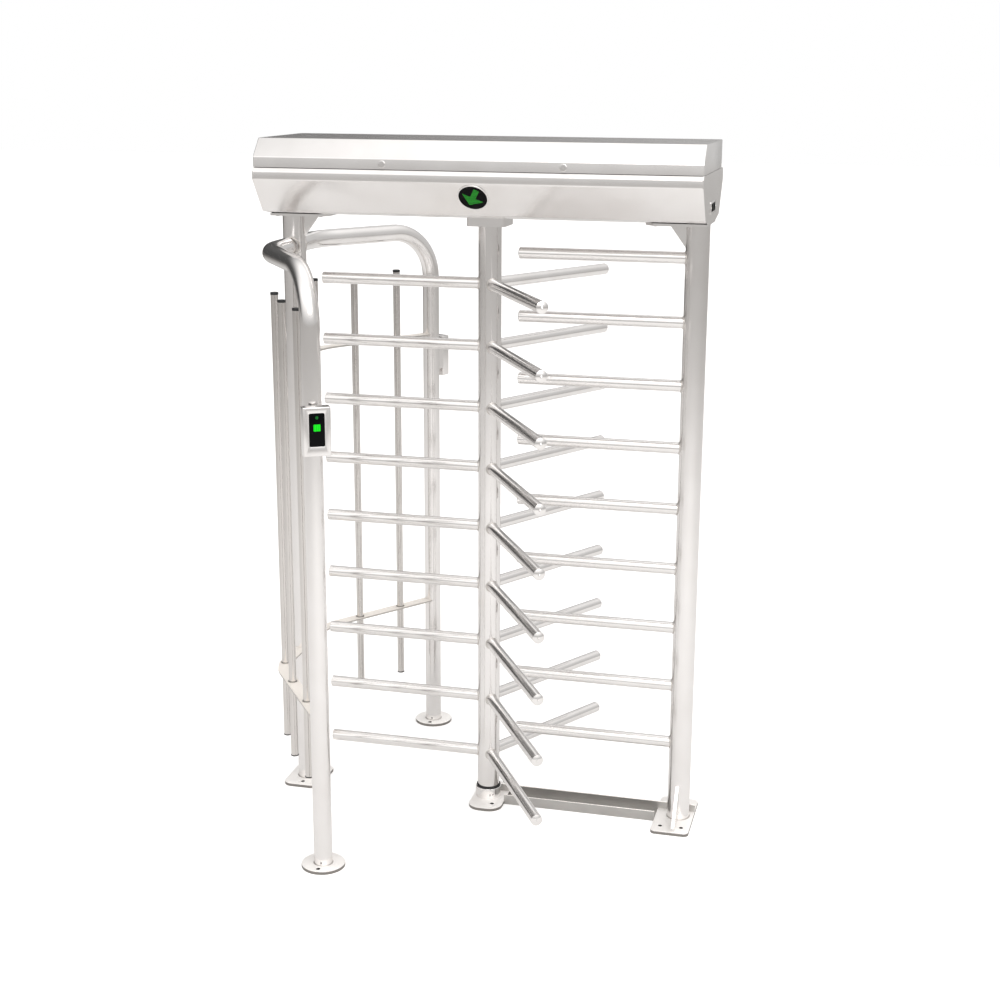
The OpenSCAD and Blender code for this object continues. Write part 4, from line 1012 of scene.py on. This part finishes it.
DECK_TOP = 2.1045
SOLENOID_Y = 0.020
SOLENOID_Z = 2.1425
SOLENOID_X = 0.124
SOLENOID_L = 0.056
SOLENOID_W = 0.030
SOLENOID_BORE_R = 0.0051
COIL_R = 0.0125
CHEEK_T = 0.003
HALF_TURNS = (0.0, 180.0)


def make_solenoids():
    """The two solenoids: a coil between the cheeks of a steel yoke, on a mounting block."""
    middle = SOLENOID_X + SOLENOID_L / 2
    yoke_low = SOLENOID_Z - SOLENOID_W / 2
    parts = [
        block((middle, SOLENOID_Y, (DECK_TOP + yoke_low) / 2), (SOLENOID_L, SOLENOID_W, yoke_low - DECK_TOP)),
        block((middle, SOLENOID_Y, yoke_low + 0.001), (SOLENOID_L, SOLENOID_W, 0.002)),
    ]
    for x in (SOLENOID_X + CHEEK_T / 2, SOLENOID_X + SOLENOID_L - CHEEK_T / 2):
        cheek = block((x, SOLENOID_Y, SOLENOID_Z), (CHEEK_T, SOLENOID_W, SOLENOID_W))
        round_edges(cheek, 0.002, 3, lambda a, b: abs(a.x - b.x) > TINY and min(a.z, b.z) > SOLENOID_Z)
        bore = new_shape("cylinder", vertices=32, radius=SOLENOID_BORE_R, depth=0.02,
                         location=(x, SOLENOID_Y, SOLENOID_Z), rotation=(0.0, math.pi / 2, 0.0))
        cut(cheek, bore)
        parts.append(cheek)
    turns = [turned(angle, "Z") for angle in HALF_TURNS]
    fit(repeated(joined(parts), turns), "solenoid_yokes", plate_steel, replaced=["solenoids"])
    coil = new_shape("cylinder", vertices=48, radius=COIL_R, depth=SOLENOID_L - 2 * CHEEK_T,
                     location=(middle, SOLENOID_Y, SOLENOID_Z), rotation=(0.0, math.pi / 2, 0.0))
    bore = new_shape("cylinder", vertices=32, radius=SOLENOID_BORE_R, depth=2 * SOLENOID_L,
                     location=(middle, SOLENOID_Y, SOLENOID_Z), rotation=(0.0, math.pi / 2, 0.0))
    cut(coil, bore)
    smooth(coil)
    fit(repeated(coil, turns), "solenoid_coils", coil_tape)


make_tray()
make_lid()
make_bezels()
make_guide_tubes()
make_plates()
make_channel()
make_beads()
make_picket_plugs()
make_readers()
make_locks()
make_hinge_screws()
make_power_panel()
make_seal()
make_board()
make_supply()
make_solenoids()

dress(post_steel, "left_post", "comb_post", "rotor_column")
dress(picket_steel, "guide_pickets")
dress(arm_steel, "rotor_arms", "arm_caps", "comb_bars", "comb_caps")
dress(sheet_steel, "beam_ends")
dress(strip_steel, "guide_strips")
dress(plate_steel, "post_gussets", "head_plates", "reader_brackets", "mechanism_plate",
      "top_bearing_block")
dress(turned_steel, "pivot_housing", "pivot_shaft", "head_shaft", "top_bearing_outer_race",
      "top_bearing_inner_race", "top_bearing_balls", "pivot_bearing_inner", "pivot_bearing_outer",
      "plunger_entry", "plunger_exit", "pivot_pins", "lid_lock_plug_left", "lid_lock_plug_right",
      "head_bolts", "hinge_pins")
# the picket collars take this darker steel as painted shade: their dark rings stand for the shadow and
# reflection where each picket sits in its strip
dress(dark_steel, "index_cam", "lock_disc", "hinge_leaves_fixed", "hinge_leaves_moving", "picket_collars")
dress(dark_nylon, "power_rocker")
dress(black_rubber, "index_roller")
dress(dark_acrylic, "signal_faces")
dress(green_arrow, "signal_arrows")
dress(red_coat, "index_lever")
dress(brass, "lock_pawl_entry", "lock_pawl_exit")


# Stage, light and camera

FLOOR_NEAR = 3.0
FLOOR_FAR = 13.0
FLOOR_LIFT = 0.25
# strengths of the dome: low and high in front, left and right at the back, a panel there, and overhead
FRONT_LOW = 0.66
FRONT_HIGH = 1.38
BACK_DARK = 0.08
BACK_PALE = 0.66
BACK_PANEL = 1.1
OVERHEAD = 1.6
# the photo's camera: place in metres, and turns in radians
CAMERA_AT = (1.35174, -5.23755, 2.52718)
CAMERA_YAW = 0.2459
CAMERA_DIP = 0.2585
CAMERA_ROLL = 0.0044
CAMERA_LENS = 59.164
CAMERA_SENSOR = 36.0


def make_floor():
    """A wide pale floor that the steel sees darken with distance, most of all at the back left."""
    floor = new_shape("plane", size=80.0, location=(0.0, 0.0, -0.0005))
    floor.name = "studio_floor"
    material, tree, shader, place = new_material("pale studio floor")
    shader.inputs["Roughness"].default_value = 0.9
    away = add_node(tree, "ShaderNodeVectorMath", {0: place}, operation="LENGTH").outputs["Value"]
    far = spread(tree, away, 0.0, 1.0, FLOOR_NEAR, FLOOR_FAR, "SMOOTHSTEP")
    spot = add_node(tree, "ShaderNodeSeparateXYZ", {"Vector": place}).outputs
    dim = maths(tree, "MULTIPLY", spread(tree, spot["Y"], 0.0, 1.0, 3.0, FLOOR_FAR),
                spread(tree, spot["X"], 1.0, 0.0, -7.0, 2.0))
    lit = blend_colours(tree, far, "#E9E8E7", "#B0AEAC")
    mirrored = mixed(tree, dim, lit, linear("#4A4846"))
    seen = add_node(tree, "ShaderNodeLightPath").outputs["Is Camera Ray"]
    tree.links.new(mixed(tree, seen, mirrored, linear("#F9F8F7")), shader.inputs["Base Color"])
    shader.inputs["Emission Color"].default_value = linear("#FFFFFF")
    tree.links.new(maths(tree, "MULTIPLY", seen, FLOOR_LIFT), shader.inputs["Emission Strength"])
    floor.data.materials.append(material)


def between(tree, value, low, high, edge):
    """One between two numbers, fading to nothing over an edge outside them."""
    rise = spread(tree, value, 0.0, 1.0, low - edge, low, "SMOOTHSTEP")
    fall = spread(tree, value, 0.0, 1.0, high + edge, high, "SMOOTHSTEP")
    return maths(tree, "MULTIPLY", rise, fall)


def make_world():
    """A studio dome: bright in front and overhead, dim behind, and darkest low down at the back left."""
    world = bpy.data.worlds.new("studio dome")
    bpy.context.scene.world = world
    world.use_nodes = True
    tree = world.node_tree
    tree.nodes.clear()
    direction = add_node(tree, "ShaderNodeTexCoord").outputs["Generated"]
    parts = add_node(tree, "ShaderNodeSeparateXYZ", {"Vector": direction}).outputs
    # behind: paler from left to right, and up to the overhead light
    back = spread(tree, parts["X"], BACK_DARK, BACK_PALE, -0.34, 0.14)
    rise = maths(tree, "POWER", spread(tree, parts["Z"], 0.0, 1.0, 0.1, 1.0), 2.3)
    back = mixed_value(tree, rise, back, OVERHEAD)
    # a light panel high up at the back left
    panel = maths(tree, "MULTIPLY", between(tree, parts["X"], -0.42, 0.0, 0.06),
                  between(tree, parts["Z"], 0.36, 0.5, 0.05))
    back = mixed_value(tree, panel, back, BACK_PANEL)
    # in front: brighter upwards, and the camera itself sees plain white all round
    front = spread(tree, parts["Z"], FRONT_LOW, FRONT_HIGH, 0.02, 0.4)
    facing = spread(tree, parts["Y"], 0.0, 1.0, 0.1, -0.6, "SMOOTHSTEP")
    level = mixed_value(tree, facing, back, front)
    seen = add_node(tree, "ShaderNodeLightPath").outputs["Is Camera Ray"]
    dome = add_node(tree, "ShaderNodeBackground", {"Color": linear("#FFFEFD"), "Strength": level})
    white = add_node(tree, "ShaderNodeBackground", {"Color": linear("#FFFFFF"), "Strength": 1.0})
    both = add_node(tree, "ShaderNodeMixShader", {0: seen, 1: dome.outputs[0], 2: white.outputs[0]})
    add_node(tree, "ShaderNodeOutputWorld", {"Surface": both.outputs[0]})


def make_light(name, at, aim, size, power):
    """A square soft light aimed at a point."""
    data = bpy.data.lights.new(name, "AREA")
    data.shape = "SQUARE"
    data.size = size
    data.energy = power
    light = bpy.data.objects.new(name, data)
    bpy.context.scene.collection.objects.link(light)
    light.location = at
    light.rotation_euler = (Vector(aim) - Vector(at)).to_track_quat("-Z", "Y").to_euler()


def make_camera():
    """The photo's own viewpoint."""
    data = bpy.data.cameras.new("camera")
    data.lens = CAMERA_LENS
    data.sensor_width = CAMERA_SENSOR
    data.clip_end = 200.0
    camera = bpy.data.objects.new("camera", data)
    bpy.context.scene.collection.objects.link(camera)
    ahead = Vector((-math.sin(CAMERA_YAW) * math.cos(CAMERA_DIP),
                    math.cos(CAMERA_YAW) * math.cos(CAMERA_DIP), -math.sin(CAMERA_DIP)))
    right = Vector((math.cos(CAMERA_YAW), math.sin(CAMERA_YAW), 0.0))
    up = right.cross(ahead)
    side = math.cos(CAMERA_ROLL) * right + math.sin(CAMERA_ROLL) * up
    top = math.cos(CAMERA_ROLL) * up - math.sin(CAMERA_ROLL) * right
    turn = Matrix((side, top, -ahead)).transposed().to_4x4()
    camera.matrix_world = Matrix.Translation(CAMERA_AT) @ turn
    bpy.context.scene.camera = camera


make_floor()
make_world()
make_light("front softbox", at=(2.0, -4.0, 5.2), aim=(0.6, -1.0, 0.0), size=5.0, power=150.0)
make_camera()
bpy.context.scene.view_settings.view_transform = "Standard"
